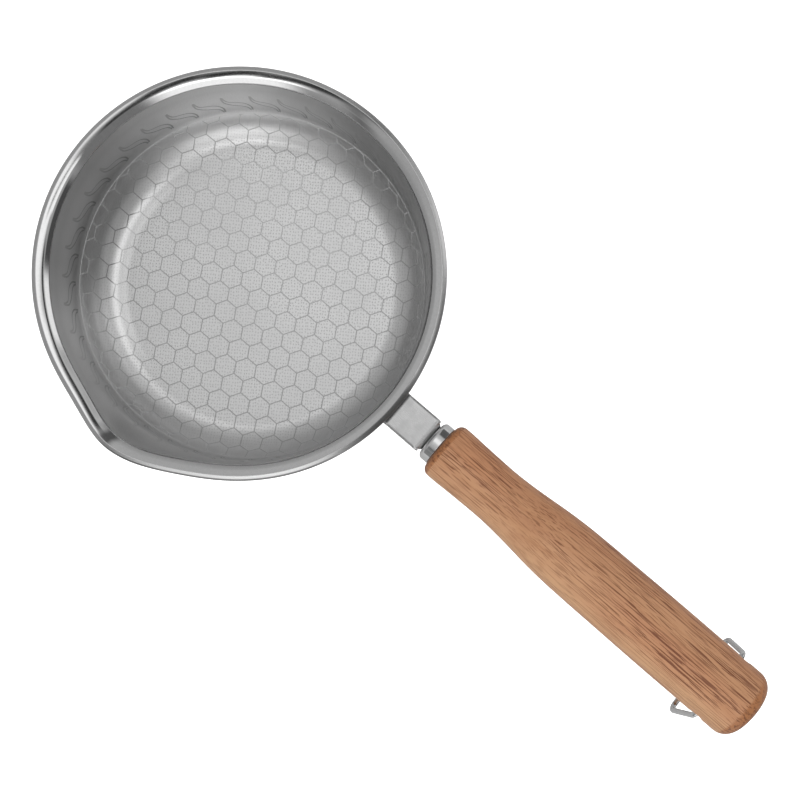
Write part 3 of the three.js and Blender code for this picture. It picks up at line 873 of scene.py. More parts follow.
    outside, nt, b = node_material("spun_outside_steel")
    n = Nodes(nt)
    p = n.object_coords()
    sep = n.new("ShaderNodeSeparateXYZ")
    n.link(p, sep.inputs[0])
    around = n.math("ARCTAN2", sep.outputs[1], sep.outputs[0])
    comb = n.new("ShaderNodeCombineXYZ")
    n.link(n.math("MULTIPLY", around, 0.0016), comb.inputs[0])
    rr = n.vmath("LENGTH", n.vmath("MULTIPLY", p, (1, 1, 0)), out=1)
    n.link(rr, comb.inputs[1])
    n.link(sep.outputs[2], comb.inputs[2])
    spun = n.noise(comb.outputs[0], 1900.0, 3.0, 0.65)
    slow = n.noise(p, 28.0, 2.0, 0.5)
    n.link(n.mix(n.remap(spun, 0.3, 0.7, 0.0, 1.0), (0.645, 0.645, 0.645), (0.745, 0.745, 0.745)), b.inputs["Base Color"])
    n.link(n.math("ADD", n.remap(spun, 0.3, 0.7, 0.2, 0.29), n.remap(slow, 0.3, 0.7, -0.03, 0.03)), b.inputs["Roughness"])
    b.inputs["Metallic"].default_value = 1.0
    n.link(n.bump(spun, 0.12, 0.00005), b.inputs["Normal"])
    return [cells, lines, waves, lip, bead, outside, border]


def take(obj, body, node):
    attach(obj, body)
    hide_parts(node)
    return obj


take(bowl_object(bowl_materials()), "pan", "pan_bowl")


# ---------------------------------------------------------------- base
def spun_steel(name, dark, light, low, high, bump=0.15):
    """Steel spun on a lathe: rings about the pan's axis."""
    m, nt, b = node_material(name)
    n = Nodes(nt)
    p = n.object_coords()
    sep = n.new("ShaderNodeSeparateXYZ")
    n.link(p, sep.inputs[0])
    around = n.math("ARCTAN2", sep.outputs[1], sep.outputs[0])
    comb = n.new("ShaderNodeCombineXYZ")
    n.link(n.math("MULTIPLY", around, 0.001), comb.inputs[0])
    n.link(n.vmath("LENGTH", n.vmath("MULTIPLY", p, (1, 1, 0)), out=1), comb.inputs[1])
    n.link(sep.outputs[2], comb.inputs[2])
    rings = n.noise(comb.outputs[0], 2600.0, 3.0, 0.7)
    heat = n.noise(p, 24.0, 3.0, 0.55)
    tone = n.mix(n.remap(rings, 0.3, 0.7, 0.0, 1.0), dark, light)
    n.link(n.mix(n.remap(heat, 0.45, 0.75, 0.0, 0.35), tone, tuple(c * k for c, k in zip(light, (0.9, 0.86, 0.78)))), b.inputs["Base Color"])
    n.link(n.remap(rings, 0.3, 0.7, low, high), b.inputs["Roughness"])
    b.inputs["Metallic"].default_value = 1.0
    n.link(n.bump(rings, bump, 0.00006), b.inputs["Normal"])
    return m


path = Path(0.28, 0.0, 90)
path.line(4.4, 4).arc(0.8, 25, 4).line(0.28).arc(0.8, -25, 4)
for r in (13.0, 21.0, 29.0, 37.0, 45.0, 51.5):
    path.line(r - path.at[1] - 0.7, 3).arc(0.7, -30, 4).arc(0.7, 60, 6).arc(0.7, -30, 4)
path.line(CAP_R - 0.9 - path.at[1], 3).arc(0.9, -90, 8)
path.line(CAP_TOP - 0.2 - path.at[0], 3).arc(0.2, -90, 4)
path.line(path.at[1] - (CAP_R - CAP_WALL)).kink(-90).line(path.at[0] - CAP_T, 2).kink(90)
path.line(CAP_R - CAP_WALL - 0.0, 8)
path.p[-1] = (path.at[0], 0.0)
mesh = Mesh()
revolve(mesh, path, 192, about_z)
cap_steel = spun_steel("spun_base_steel", (0.565, 0.565, 0.565), (0.705, 0.705, 0.705), 0.24, 0.36)
take(make_object("base_disc", mesh.v, mesh.f, mesh.n, [cap_steel]), "pan", "base_cap")

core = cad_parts["base_core"]
core.data.materials.clear()
core.data.materials.append(spun_steel("bare_aluminium", (0.745, 0.745, 0.745), (0.855, 0.855, 0.855), 0.36, 0.48))


# ---------------------------------------------------------------- handle frame
CT, ST = math.cos(rad(TILT)), math.sin(rad(TILT))
HANDLE = np.array([[CT, 0, -ST], [0, 1, 0], [ST, 0, CT]])
HANDLE_AT = np.array([AXIS_X, 0, HEIGHT - AXIS_DROP])


def to_pan(p):
    return np.asarray(p) @ HANDLE.T + HANDLE_AT


def handle_coords(n):
    """Object coordinates turned into the handle's frame: along, across, above."""
    at = HANDLE.T @ HANDLE_AT * MM
    return n.mapping(n.object_coords(), location=tuple(-at), rotation=(0, rad(TILT), 0))


def on_handle(name, mesh, materials, **more):
    normals = np.asarray(mesh.n) @ HANDLE.T if mesh.n else None
    return make_object(name, to_pan(mesh.v), mesh.f, normals, materials, **more)


# ---------------------------------------------------------------- ferrule: polished collar with a rounded chamfer towards the pan
path = Path(FERRULE[0], FERRULE_BORE, 90)
path.line(6.9 - FERRULE_BORE, 4).arc(0.35, -38, 5).line(0.75, 2).arc(1.5, -52, 12)
rise = FERRULE_R - path.at[1]
path.p = [(x, y + rise) if i else (x, y) for i, (x, y) in enumerate(path.p)]
path.line(FERRULE[1] - 0.3 - path.at[0], 4).arc(0.3, -90, 6).line(path.at[1] - FERRULE_BORE, 4)
path.kink(-90).line(path.at[0] - FERRULE[0], 4)
path.p[-1] = path.p[0]
mesh = Mesh()
revolve(mesh, path, 128, about_handle)
ferrule_steel = steel("polished_ferrule_steel", (0.78, 0.78, 0.78), 0.09, bump=0.03, smudge=0.02, grain=1500.0)
take(on_handle("ferrule_collar", mesh, [ferrule_steel]), "pan", "ferrule")


# ---------------------------------------------------------------- wood: turned grip with a cross hole
def wood_curve():
    """The grip's radius along the axis: a smooth curve through the measured stations. Returns the function and its slope."""
    keys = [(WOOD[0] + WOOD_FRONT_ROUND, WOOD_PROFILE[0][1] - 0.02)] + WOOD_PROFILE + [(WOOD[1] - WOOD_END_ROUND, WOOD_END_R)]
    x, y = np.array(keys).T
    m = np.gradient(y, x)
    m[0], m[-1] = 0.01, 0.0

    def at(a, want):
        k = int(np.clip(np.searchsorted(x, a) - 1, 0, len(x) - 2))
        h = x[k + 1] - x[k]
        t = (a - x[k]) / h
        if want:
            return (
                (6 * t * t - 6 * t) * (y[k] - y[k + 1]) / h + (3 * t * t - 4 * t + 1) * m[k] + (3 * t * t - 2 * t) * m[k + 1]
            )
        return (
            (2 * t**3 - 3 * t**2 + 1) * y[k]
            + (t**3 - 2 * t**2 + t) * h * m[k]
            + (3 * t**2 - 2 * t**3) * y[k + 1]
            + (t**3 - t**2) * h * m[k + 1]
        )

    return lambda a: at(a, False), lambda a: at(a, True)


def wood_object(material):
    radius, slope = wood_curve()
    front, end = WOOD
    path = Path(WOOD_BORE[1], 0.0, 90)
    path.line(WOOD_BORE[0], 2).kink(90).line(WOOD_BORE[1] - front, 10).kink(-90)
    start_r = radius(front + WOOD_FRONT_ROUND)
    path.line(start_r - WOOD_FRONT_ROUND - WOOD_BORE[0], 4).arc(WOOD_FRONT_ROUND, -90, 12)
    window = 5.4
    a = list(np.arange(front + WOOD_FRONT_ROUND + 1.2, HOLE_A - window - 1.0, 2.0))
    a += list(np.linspace(HOLE_A - window, HOLE_A + window, 16))
    a += list(np.linspace(HOLE_A + window, end - WOOD_END_ROUND, 4)[1:])
    for q in a:
        path.add(q, radius(q), math.degrees(math.atan(slope(q))))
    path.arc(WOOD_END_ROUND, -90, 14).line(path.at[1], 6)
    path.p[-1] = (path.at[0], 0.0)

    sides = 128
    wide = 8
    rows_in = [i for i, (x, r) in enumerate(path.p) if abs(x - HOLE_A) < window + 1e-6 and r > 12]
    low, high = rows_in[0], rows_in[-1]

    def opened(i, j):
        return low <= i < high and any(c - wide <= j < c + wide for c in (sides // 4, 3 * sides // 4))

    mesh = Mesh()
    rows = revolve(mesh, path, sides, about_handle, opened)
    steps = 56
    alpha = np.linspace(0, 2 * math.pi, steps, endpoint=False)
    tunnel = []
    for side, middle in ((1, sides // 4), (-1, 3 * sides // 4)):
        # the skin round the hole: grid points further out, and a ring that the skin ends in
        ids, flat, normals = [], [], []
        border = []

        def skin(x, w):
            h = math.atan(slope(x))
            return np.array([-math.sin(h), math.cos(h) * math.sin(w), math.cos(h) * math.cos(w)])

        lookup = {}
        for i in range(low, high + 1):
            for j in range(middle - wide, middle + wide + 1):
                x, r = path.p[i]
                w = 2 * math.pi * j / sides
                far = math.hypot(x - HOLE_A, r * math.cos(w))
                on_edge = i in (low, high) or j in (middle - wide, middle + wide)
                if on_edge or far > HOLE_R + 0.95:
                    lookup[i, j] = len(ids)
                    ids.append(rows[i][j])
                    flat.append((x, 14.1 * (w - 2 * math.pi * middle / sides)))
                    normals.append(skin(x, w))
        for j in range(middle - wide, middle + wide):
            border += [(lookup[low, j], lookup[low, j + 1]), (lookup[high, j], lookup[high, j + 1])]
        for i in range(low, high):
            border += [(lookup[i, c], lookup[i + 1, c]) for c in (middle - wide, middle + wide)]

        def ring(r, depth, lean):
            pts, nrm = [], []
            for t in alpha:
                x, z = HOLE_A + r * math.cos(t), r * math.sin(t)
                rr = radius(x)
                y = side * (math.sqrt(rr * rr - z * z) - depth)
                w = math.atan2(side * math.sqrt(rr * rr - z * z), z)
                inward = np.array([-math.cos(t), 0, -math.sin(t)])
                pts.append((x, y, z))
                nrm.append(unit(skin(x, w) * (1 - lean) + inward * lean))
            return mesh.add(pts), np.array(nrm), pts

        outer, n_outer, pts = ring(HOLE_R + 0.42, 0.0, 0.0)
        base = len(ids)
        for k, (x, y, z) in enumerate(pts):
            w = math.atan2(y, z)
            off = (w - 2 * math.pi * middle / sides + math.pi) % (2 * math.pi) - math.pi
            ids.append(outer[k])
            flat.append((x, 14.1 * off))
            normals.append(n_outer[k])
        border += [(base + k, base + (k + 1) % steps) for k in range(steps)]
        cut = delaunay_2d_cdt([Vector(q) for q in flat], border, [], 0, 1e-6)
        origin = [o[0] for o in cut[3]]
        for f in cut[2]:
            k = [origin[v] for v in f]
            x = np.mean([flat[v][0] for v in k]) - HOLE_A
            z = np.mean([mesh.v[int(ids[v])][2] for v in k])
            if math.hypot(x, z) < HOLE_R + 0.42 and all(v >= base for v in k):
                continue
            mesh.face([ids[v] for v in k], [normals[v] for v in k])
        prev, n_prev = outer, n_outer
        for r, depth, lean in ((HOLE_R + 0.16, 0.07, 0.4), (HOLE_R, 0.35, 1.0)):
            here, n_here, _ = ring(r, depth, lean)
            mesh.strip(prev, here, n_prev, n_here)
            prev, n_prev = here, n_here
        tunnel.append((prev, n_prev))
    mesh.strip(tunnel[0][0], tunnel[1][0], tunnel[0][1], tunnel[1][1])
    return on_handle("wood_grip", mesh, [material])


# linear colours
WOOD_TONES = {
    "base": (0.405, 0.202, 0.097),
    "band": (0.345, 0.153, 0.070),
    "pale": (0.515, 0.312, 0.170),
    "thin": (0.290, 0.117, 0.052),
    "fibre": (0.335, 0.150, 0.070),
    "pore": (0.115, 0.032, 0.012),
    "end": (0.31, 0.128, 0.05),
    "end_dark": (0.13, 0.045, 0.016),
}


def wood_material():
    m, nt, b = node_material("varnished_hardwood")
    n = Nodes(nt)
    q = handle_coords(n)
    # the fibres wander a little along the grip
    sway = n.new("ShaderNodeTexNoise")
    n.link(n.mapping(q, scale=(14.0, 30.0, 30.0)), sway.inputs["Vector"])
    sway.inputs["Scale"].default_value = 1.0
    sway.inputs["Detail"].default_value = 2.0
    wander = n.vmath("MULTIPLY", n.vmath("SUBTRACT", sway.outputs["Color"], (0.5, 0.5, 0.5)), (0.0, 0.0011, 0.0011))
    g = n.vmath("ADD", q, wander)
    sep = n.new("ShaderNodeSeparateXYZ")
    n.link(g, sep.inputs[0])
    # growth layers: shells about a far pith, met at a slant
    layers = n.vmath("LENGTH", n.vmath("SUBTRACT", n.vmath("MULTIPLY", g, (0.035, 1.0, 1.0)), (0.0, 0.045, -0.05)), out=1)
    comb = n.new("ShaderNodeCombineXYZ")
    n.link(n.math("MULTIPLY", sep.outputs[0], 0.02), comb.inputs[0])
    n.link(layers, comb.inputs[1])
    broad = n.noise(comb.outputs[0], 190.0, 2.0, 0.5)
    thin = n.noise(comb.outputs[0], 900.0, 2.0, 0.6)
    fibre = n.noise(n.mapping(g, scale=(0.025, 1.0, 1.0)), 3200.0, 3.0, 0.6)
    slow = n.noise(n.mapping(q, scale=(0.35, 1.0, 1.0)), 55.0, 2.0, 0.5)
    # paler towards the side away from the heart: partly the wood's own tone, partly painted light
    side = n.remap(sep.outputs[1], -0.012, 0.012, 1.0, 0.0)
    tone = n.mix(n.remap(broad, 0.3, 0.7, 0.0, 1.0), WOOD_TONES["band"], WOOD_TONES["base"])
    tone = n.mix(n.math("MULTIPLY", side, n.remap(slow, 0.3, 0.7, 0.25, 0.75)), tone, WOOD_TONES["pale"])
    tone = n.mix(n.remap(thin, 0.42, 0.72, 0.0, 0.45), tone, WOOD_TONES["thin"])
    tone = n.mix(n.remap(fibre, 0.3, 0.7, 0.0, 0.22), tone, WOOD_TONES["fibre"])

    def pores(across, along, width, seed, share):
        """Open pores cut lengthwise: dashes along the fibres, dots on the end grain."""
        v = n.new("ShaderNodeTexVoronoi", feature="F1")
        n.link(n.mapping(g, location=(seed, seed * 0.7, seed * 0.3), scale=(across / along, 1.0, 1.0)), v.inputs["Vector"])
        v.inputs["Scale"].default_value = 1.0 / across
        v.inputs["Randomness"].default_value = 1.0
        hue = n.new("ShaderNodeSeparateColor")
        n.link(v.outputs["Color"], hue.inputs[0])
        there = n.remap(hue.outputs[0], 1.0 - share - 0.02, 1.0 - share + 0.02, 0.0, 1.0)
        size = n.math("MULTIPLY", n.remap(hue.outputs[1], 0.0, 1.0, 0.55, 1.25), width / across / 2)
        edge = n.math("SUBTRACT", 1.0, n.math("DIVIDE", v.outputs["Distance"], size), clamp=True)
        shape = n.remap(edge, 0.0, 0.45, 0.0, 1.0)
        return n.math("MULTIPLY", n.math("MULTIPLY", shape, there), n.remap(hue.outputs[2], 0.0, 1.0, 0.45, 1.0))

    patchy = n.noise(n.mapping(q, location=(0.31, 0.02, 0.04), scale=(0.3, 1.0, 1.0)), 150.0, 2.0, 0.5)
    # two belts of denser, redder wood
    near = n.math("MULTIPLY", n.remap(sep.outputs[0], 0.022, 0.036, 0.0, 1.0), n.remap(sep.outputs[0], 0.046, 0.062, 1.0, 0.0))
    near = n.math("MULTIPLY", near, n.remap(sep.outputs[1], -0.002, 0.003, 0.0, 1.0))
    far = n.math("MULTIPLY", n.remap(sep.outputs[0], 0.096, 0.12, 0.0, 1.0), n.remap(sep.outputs[1], -0.0105, -0.0075, 0.0, 1.0))
    far = n.math("MULTIPLY", far, n.remap(sep.outputs[1], 0.0, 0.0035, 1.0, 0.0))
    belt = n.math("MAXIMUM", n.math("MULTIPLY", near, 0.8), far)
    tone = n.mix(n.math("MULTIPLY", belt, 0.34), tone, (0.36, 0.142, 0.06))
    crowd = n.math("MAXIMUM", belt, n.math("MULTIPLY", n.remap(patchy, 0.38, 0.58, 0.5, 1.0), n.remap(side, 0.55, 1.0, 1.0, 0.6)))
    # where the grip swells the pores are cut short and show less
    swell = n.math("MULTIPLY", n.remap(sep.outputs[0], 0.05, 0.06, 0.0, 1.0), n.remap(sep.outputs[0], 0.075, 0.088, 1.0, 0.0))
    crowd = n.math("MULTIPLY", crowd, n.math("SUBTRACT", 1.0, n.math("MULTIPLY", swell, 0.2)))
    big = pores(0.0011, 0.021, 0.00046, 0.047, 0.7)
    small = pores(0.0008, 0.012, 0.00034, 0.09, 0.6)
    long = n.noise(n.mapping(g, location=(0.3, 0.1, 0.2), scale=(0.02, 1.0, 1.0)), 1950.0, 1.0, 0.5)
    short = n.noise(n.mapping(g, location=(0.1, 0.4, 0.3), scale=(0.04, 1.0, 1.0)), 2450.0, 1.0, 0.5)
    pore = n.math("MAXIMUM", big, n.math("MULTIPLY", small, 0.7))
    pore = n.math("MAXIMUM", pore, n.remap(long, 0.582, 0.608, 0.0, 1.0))
    pore = n.math("MAXIMUM", pore, n.remap(short, 0.594, 0.624, 0.0, 0.9))
    pore = n.math("MULTIPLY", pore, crowd)
    tone = n.mix(n.math("MULTIPLY", pore, 0.88), tone, WOOD_TONES["pore"])
    # cut across the fibres the finish soaks in deeper; on the front round-over the darker tone is also painted shade
    normal = n.mapping(n.new("ShaderNodeTexCoord").outputs["Normal"], rotation=(0, rad(TILT), 0))
    nsep = n.new("ShaderNodeSeparateXYZ")
    n.link(normal, nsep.inputs[0])
    across = n.remap(n.math("ABSOLUTE", nsep.outputs[0]), 0.085, 0.24, 0.0, 1.0)
    speck = n.noise(n.mapping(g, scale=(0.5, 1.0, 1.0)), 1000.0, 2.0, 0.6)
    end_tone = n.mix(n.remap(speck, 0.36, 0.52, 0.0, 1.0), WOOD_TONES["end_dark"], WOOD_TONES["end"])
    tone = n.mix(n.math("MULTIPLY", across, 0.95), tone, end_tone)
    n.link(tone, b.inputs["Base Color"])
    n.link(n.math("ADD", n.remap(fibre, 0.3, 0.7, 0.38, 0.5), n.math("MULTIPLY", pore, 0.2), clamp=True), b.inputs["Roughness"])
    b.inputs["Specular IOR Level"].default_value = 0.4
    b.inputs["Coat Weight"].default_value = 0.12
    b.inputs["Coat Roughness"].default_value = 0.28
    height = n.math("SUBTRACT", n.math("MULTIPLY", fibre, 0.25), pore)
    n.link(n.bump(height, 0.35, 0.0001), b.inputs["Normal"])
    return m


take(wood_object(wood_material()), "pan", "wood_handle")


# ---------------------------------------------------------------- bracket: one pressing, channel, end tab and welded ears
def wall_radius(z):
    return np.interp(z, OUTER[::-1, 1], OUTER[::-1, 0])


def bracket_object(material):
    half, low, top, thick = STRAP_W / 2, STRAP_LOW, STRAP_TOP, STRAP_T
    flange_z = np.linspace(low, 4.0, 15)
    left = [((-half, z), (-half + thick, z)) for z in flange_z]
    round_out, round_in = 1.1, 0.3
    bend = []
    for t in np.radians(np.linspace(180, 90, 7)):
        c, s = math.cos(t), math.sin(t)
        bend.append(
            (
                (-half + round_out * (1 + c), top - round_out * (1 - s)),
                (-half + thick + round_in * (1 + c), top - thick - round_in * (1 - s)),
            )
        )
    plate = [((y, top), (y, top - thick)) for y in (-5.5, -4.2, -2.9, -1.4, 0.0, 1.4, 2.9, 4.2, 5.5)]

    def mirrored(part):
        return [tuple((-y, z) for y, z in pair) for pair in reversed(part)]

    columns = left + bend + plate + mirrored(bend) + mirrored(left)
    n_left, n_bend, n_plate = len(left), len(bend), len(plate)
    n_all = len(columns)
    first_tab = n_left + n_bend
    flanges = set(range(n_left)) | set(range(n_all - n_left, n_all))
    tab = set(range(first_tab, first_tab + n_plate))
    verts, faces = [], []

    def put(p):
        verts.append(p)
        return len(verts) - 1

    def row(keep, where):
        """One row of the pressing: column -> (outside vertex, inside vertex)."""
        return {j: tuple(put(where(j, layer)) for layer in (0, 1)) for j in range(n_all) if j in keep}

    def lift(a, z):
        """The top turns up towards the rim."""
        return 1.0 * float(smooth((2.1 - a) / 1.9)) * float(np.clip((z - 3.2) / 1.5, 0, 1))

    def straight(a):
        def where(j, layer):
            y, z = columns[j][layer]
            return to_pan((a, y, z + lift(a, z)))

        return where

    main = [row(range(n_all), straight(a)) for a in (-2.2, -1.0, 0.1, 0.4, 0.7, 1.0, 1.3, 1.6, 1.9, 2.2, 3.0, 4.5, 7.0, 10.0, 13.0, STRAP_END - STRAP_BEND)]

    # the top reaches in under the lip
    def inward(f):
        def where(j, layer):
            y, z = columns[j][layer]
            z += lift(-3.0, z)
            x = math.sqrt(76.45**2 - y * y)
            a = (x - AXIS_X + z * ST) / CT
            return to_pan((a + (-2.2 - a) * f, y, z))

        return where

    upper = set(range(n_left, n_all - n_left))
    under_lip = [row(upper, inward(f)) for f in (0.0, 0.5)]

    # the sides turn outwards into ears that follow the wall
    inner_bend = 0.8
    mid = thick / 2
    z_low, z_high, ear_round = 34.8, 47.4, 2.6

    def ear(t):
        """t runs from 0 at the flange to 1 at the ear's end."""

        def where(j, layer):
            y, z = columns[j][layer]
            side = 1 if y > 0 else -1
            share = (z - low) / (4.0 - low)
            start = to_pan((-3.0 + z * 0.1, 0, z))[2]
            goal = z_low + (z_high - z_low) * share
            height = start + (goal - start) * float(smooth(t / 0.55))
            wall = float(wall_radius(height)) + WELD_GAP + mid
            cy = half - mid + inner_bend + mid
            cx = math.sqrt((wall + inner_bend + mid) ** 2 - cy * cy)
            sweep = math.pi / 2 - math.atan2(cy, cx)
            bend_len = sweep * (inner_bend + mid)
            begin = math.atan2(cy, cx)
            finish = math.asin(EAR_W / 2 / wall)
            total = bend_len + (finish - begin) * wall
            at = t * total
            if at <= bend_len:
                w = -math.pi / 2 - at / (inner_bend + mid)
                rr = inner_bend if layer == 0 else inner_bend + thick
                return np.array([cx + rr * math.cos(w), side * (cy + rr * math.sin(w)), height])
            w = begin + (at - bend_len) / wall
            rr = wall + (mid if layer == 0 else -mid)
            left_over = total - at
            if left_over < ear_round:
                cut = ear_round - math.sqrt(max(0.0, ear_round**2 - (ear_round - left_over) ** 2))
                centre, tall = (z_low + z_high) / 2, (z_high - z_low) / 2
                height = centre + (height - centre) * (tall - cut) / tall
            if layer == 0:
                # two spot welds
                for weld in (38.0, 44.2):
                    d = math.hypot(rr * w - 10.9, height - weld)
                    rr -= 0.32 * math.exp(-((d / 0.95) ** 4))
            return np.array([rr * math.cos(w), side * rr * math.sin(w), height])

        return where

    ears = [row(flanges, ear(t)) for t in (1.0, 0.985, 0.96, 0.93, 0.89, 0.84, 0.78, 0.72, 0.66, 0.6, 0.54, 0.48, 0.42, 0.36, 0.3, 0.24, 0.18, 0.12, 0.06, 0.0)]

    # the end: the top folds down into a tab, and narrows to it; the sides stop short beside it
    def narrow(a):
        return half - np.clip((a - STRAP_END + 1.6) * 1.19, 0.0, 1.9)

    tab |= {first_tab - 1, first_tab + n_plate}
    tabs = []
    for k, w in enumerate(np.radians(np.linspace(90, 0, 8)[1:])):

        def fold(j, layer, w=w, k=k):
            y, z = columns[j][layer]
            rr = STRAP_BEND if layer == 0 else STRAP_BEND - thick
            a, drop = STRAP_END - STRAP_BEND + rr * math.cos(w), rr * (1 - math.sin(w))
            if j in tab:
                wide = narrow(STRAP_END - STRAP_BEND + STRAP_BEND * math.cos(w))
                return to_pan((a, math.copysign(min(abs(y), wide), y), z - drop))
            a = STRAP_END - STRAP_BEND + STRAP_BEND * math.cos(w)
            near_top = float(np.clip((abs(columns[j][0][1]) - 5.3) / 1.1, 0, 1)) if z > 0 else 0.0
            stop = STRAP_END - 1.6 + 0.4 * near_top if z > 4.0 else STRAP_END - 1.3 - 0.55 * float(np.clip((-4.2 - z) / 1.8, 0, 1))
            return to_pan((min(a, stop - 0.06 * (1 - k)), y, z - drop * near_top))

        tabs.append(row(range(n_all) if k < 2 else tab, fold))
    for z in (2.9, 1.4, 0.0, -1.4, -2.9, -4.4, low):
        wide = narrow(STRAP_END)
        tabs.append(
            row(
                tab,
                lambda j, layer, z=z: to_pan(
                    (STRAP_END - thick * layer, math.copysign(min(abs(columns[j][layer][0]), wide), columns[j][layer][0]), z)
                ),
            )
        )

    count = {}
    cells = []

    def between(r0, r1, skip=lambda j: False):
        for j in range(n_all - 1):
            if j in r0 and j + 1 in r0 and j in r1 and j + 1 in r1 and not skip(j):
                cells.append((r0[j], r1[j], r1[j + 1], r0[j + 1]))

    for r0, r1 in zip(main, main[1:]):
        between(r0, r1)
    for r0, r1 in zip(under_lip, under_lip[1:] + [main[0]]):
        between(r0, r1)
    for r0, r1 in zip(ears, ears[1:] + [main[0]]):
        between(r0, r1, lambda j: j == n_left - 1 or j == n_all - n_left - 1)
    for r0, r1 in zip([main[-1]] + tabs, tabs):
        i = tabs.index(r1)
        hole = range(first_tab + 2, first_tab + 6) if 8 <= i <= 11 else ()
        between(r0, r1, lambda j, hole=hole: j in hole)
    for c in cells:
        faces.append([v[0] for v in c])
        faces.append([v[1] for v in reversed(c)])
        for a, b in zip(c, c[1:] + c[:1]):
            key = (min(a[0], b[0]), max(a[0], b[0]))
            count.setdefault(key, []).append((a, b))
    for edge in count.values():
        if len(edge) == 1:
            a, b = edge[0]
            faces.append([b[0], a[0], a[1], b[1]])
    obj = make_object("bracket_pressing", verts, faces, None, [material])
    return eased(obj, 0.2, 50.0)


def bracket_material():
    """Satin pressing: rolled grain along the handle and a few small dents."""
    m, nt, b = node_material("satin_bracket_steel")
    n = Nodes(nt)
    q = handle_coords(n)
    grain = n.noise(n.mapping(q, scale=(0.12, 1.0, 1.0)), 2600.0, 3.0, 0.6)
    mottle = n.noise(q, 260.0, 3.0, 0.6)
    dent = n.voronoi(q, 420.0)
    spot = n.remap(dent, 0.05, 0.13, 1.0, 0.0)
    tone = n.mix(n.remap(grain, 0.3, 0.7, 0.0, 1.0), (0.555, 0.555, 0.555), (0.65, 0.65, 0.65))
    tone = n.mix(n.remap(mottle, 0.35, 0.65, 0.0, 0.4), tone, (0.515, 0.515, 0.515))
    tone = n.mix(n.math("MULTIPLY", spot, 0.4), tone, (0.825, 0.825, 0.825))
    # painted shade, dark in the corner under the rim
    sep = n.new("ShaderNodeSeparateXYZ")
    n.link(q, sep.inputs[0])
    n.link(n.mix(n.remap(sep.outputs[0], 0.0014, 0.0022, 1.0, 0.0), tone, (0.34, 0.34, 0.34), blend="MULTIPLY"), b.inputs["Base Color"])
    n.link(n.math("ADD", n.remap(grain, 0.3, 0.7, 0.26, 0.34), n.remap(mottle, 0.3, 0.7, -0.04, 0.05)), b.inputs["Roughness"])
    b.inputs["Metallic"].default_value = 1.0
    height = n.math("ADD", n.math("MULTIPLY", grain, 0.3), n.math("SUBTRACT", n.math("MULTIPLY", mottle, 0.8), n.math("MULTIPLY", spot, 0.3)))
    n.link(n.bump(height, 0.25, 0.00012), b.inputs["Normal"])
    return m


take(bracket_object(bracket_material()), "pan", "handle_bracket")


# ---------------------------------------------------------------- bolt, spring washer, insert
def bolt_object(material):
    sides = 48
    w = np.linspace(0, 2 * math.pi, sides, endpoint=False)
    flat = HEAD_AF / 2
    hexagon = flat / np.cos((w + math.pi / 6) % (math.pi / 3) - math.pi / 6)
    verts, faces, rows = [], [], []

    def ring(a, r):
        start = len(verts)
        r = np.broadcast_to(r, (sides,))
        a = np.broadcast_to(a, (sides,))
        verts.extend(np.stack([a, r * np.sin(w), r * np.cos(w)], -1).tolist())
        rows.append(list(range(start, start + sides)))

    crown = 3.72
    ring(HEAD[0] + 0.22, 1.6)
    ring(HEAD[0] + 0.2, 1.75)
    ring(HEAD[0], 2.0)
    ring(HEAD[0], crown)
    ring(HEAD[0] + (hexagon - crown) * 0.577, hexagon)
    ring(HEAD[1] - 0.08, hexagon)
    ring(HEAD[1], hexagon - 0.08)
    ring(HEAD[1], 2.9)
    ring(HEAD[1], 2.5)
    ring(17.2, 2.5)
    # thread: one turn every 0.8
    for a in np.arange(17.4, 38.2, 0.2):
        turn = (a / 0.8 + w / (2 * math.pi)) % 1.0
        ring(a, 2.14 + 0.34 * np.minimum(1, 1.25 * np.abs(2 * turn - 1)))
    ring(38.4, 2.12)
    ring(38.85, 1.75)
    for r0, r1 in zip(rows, rows[1:]):
        for j in range(sides):
            k = (j + 1) % sides
            faces.append((r0[j], r0[k], r1[k], r1[j]))
    for r, flip in ((rows[0], True), (rows[-1], False)):
        start = len(verts)
        verts.append([verts[r[0]][0], 0, 0])
        for j in range(sides):
            tri = (r[j], r[(j + 1) % sides], start)
            faces.append(tri[::-1] if flip else tri)
    obj = make_object("hex_bolt", to_pan(verts), faces, None, [material])
    facing = bmesh.new()
    facing.from_mesh(obj.data)
    bmesh.ops.recalc_face_normals(facing, faces=facing.faces)
    facing.to_mesh(obj.data)
    facing.free()
    obj.data.set_sharp_from_angle(angle=rad(28))
    return obj


def plated(name, colour, rough, tint):
    """Zinc-plated steel: crystalline bloom and handling marks."""
    m, nt, b = node_material(name)
    n = Nodes(nt)
    p = n.object_coords()
    bloom = n.voronoi(p, 1500.0)
    slow = n.noise(p, 220.0, 3.0, 0.6)
    tone = n.mix(n.remap(bloom, 0.1, 0.7, 0.0, 0.6), colour, tuple(c * 0.82 for c in colour))
    n.link(n.mix(n.remap(slow, 0.4, 0.7, 0.0, 0.5), tone, tint), b.inputs["Base Color"])
    n.link(n.remap(slow, 0.3, 0.7, rough * 0.8, rough * 1.25), b.inputs["Roughness"])
    b.inputs["Metallic"].default_value = 1.0
    n.link(n.bump(bloom, 0.08, 0.00005), b.inputs["Normal"])
    return m


take(bolt_object(plated("plated_bolt_steel", (0.585, 0.585, 0.585), 0.28, (0.52, 0.52, 0.5))), "pan", "handle_bolt")

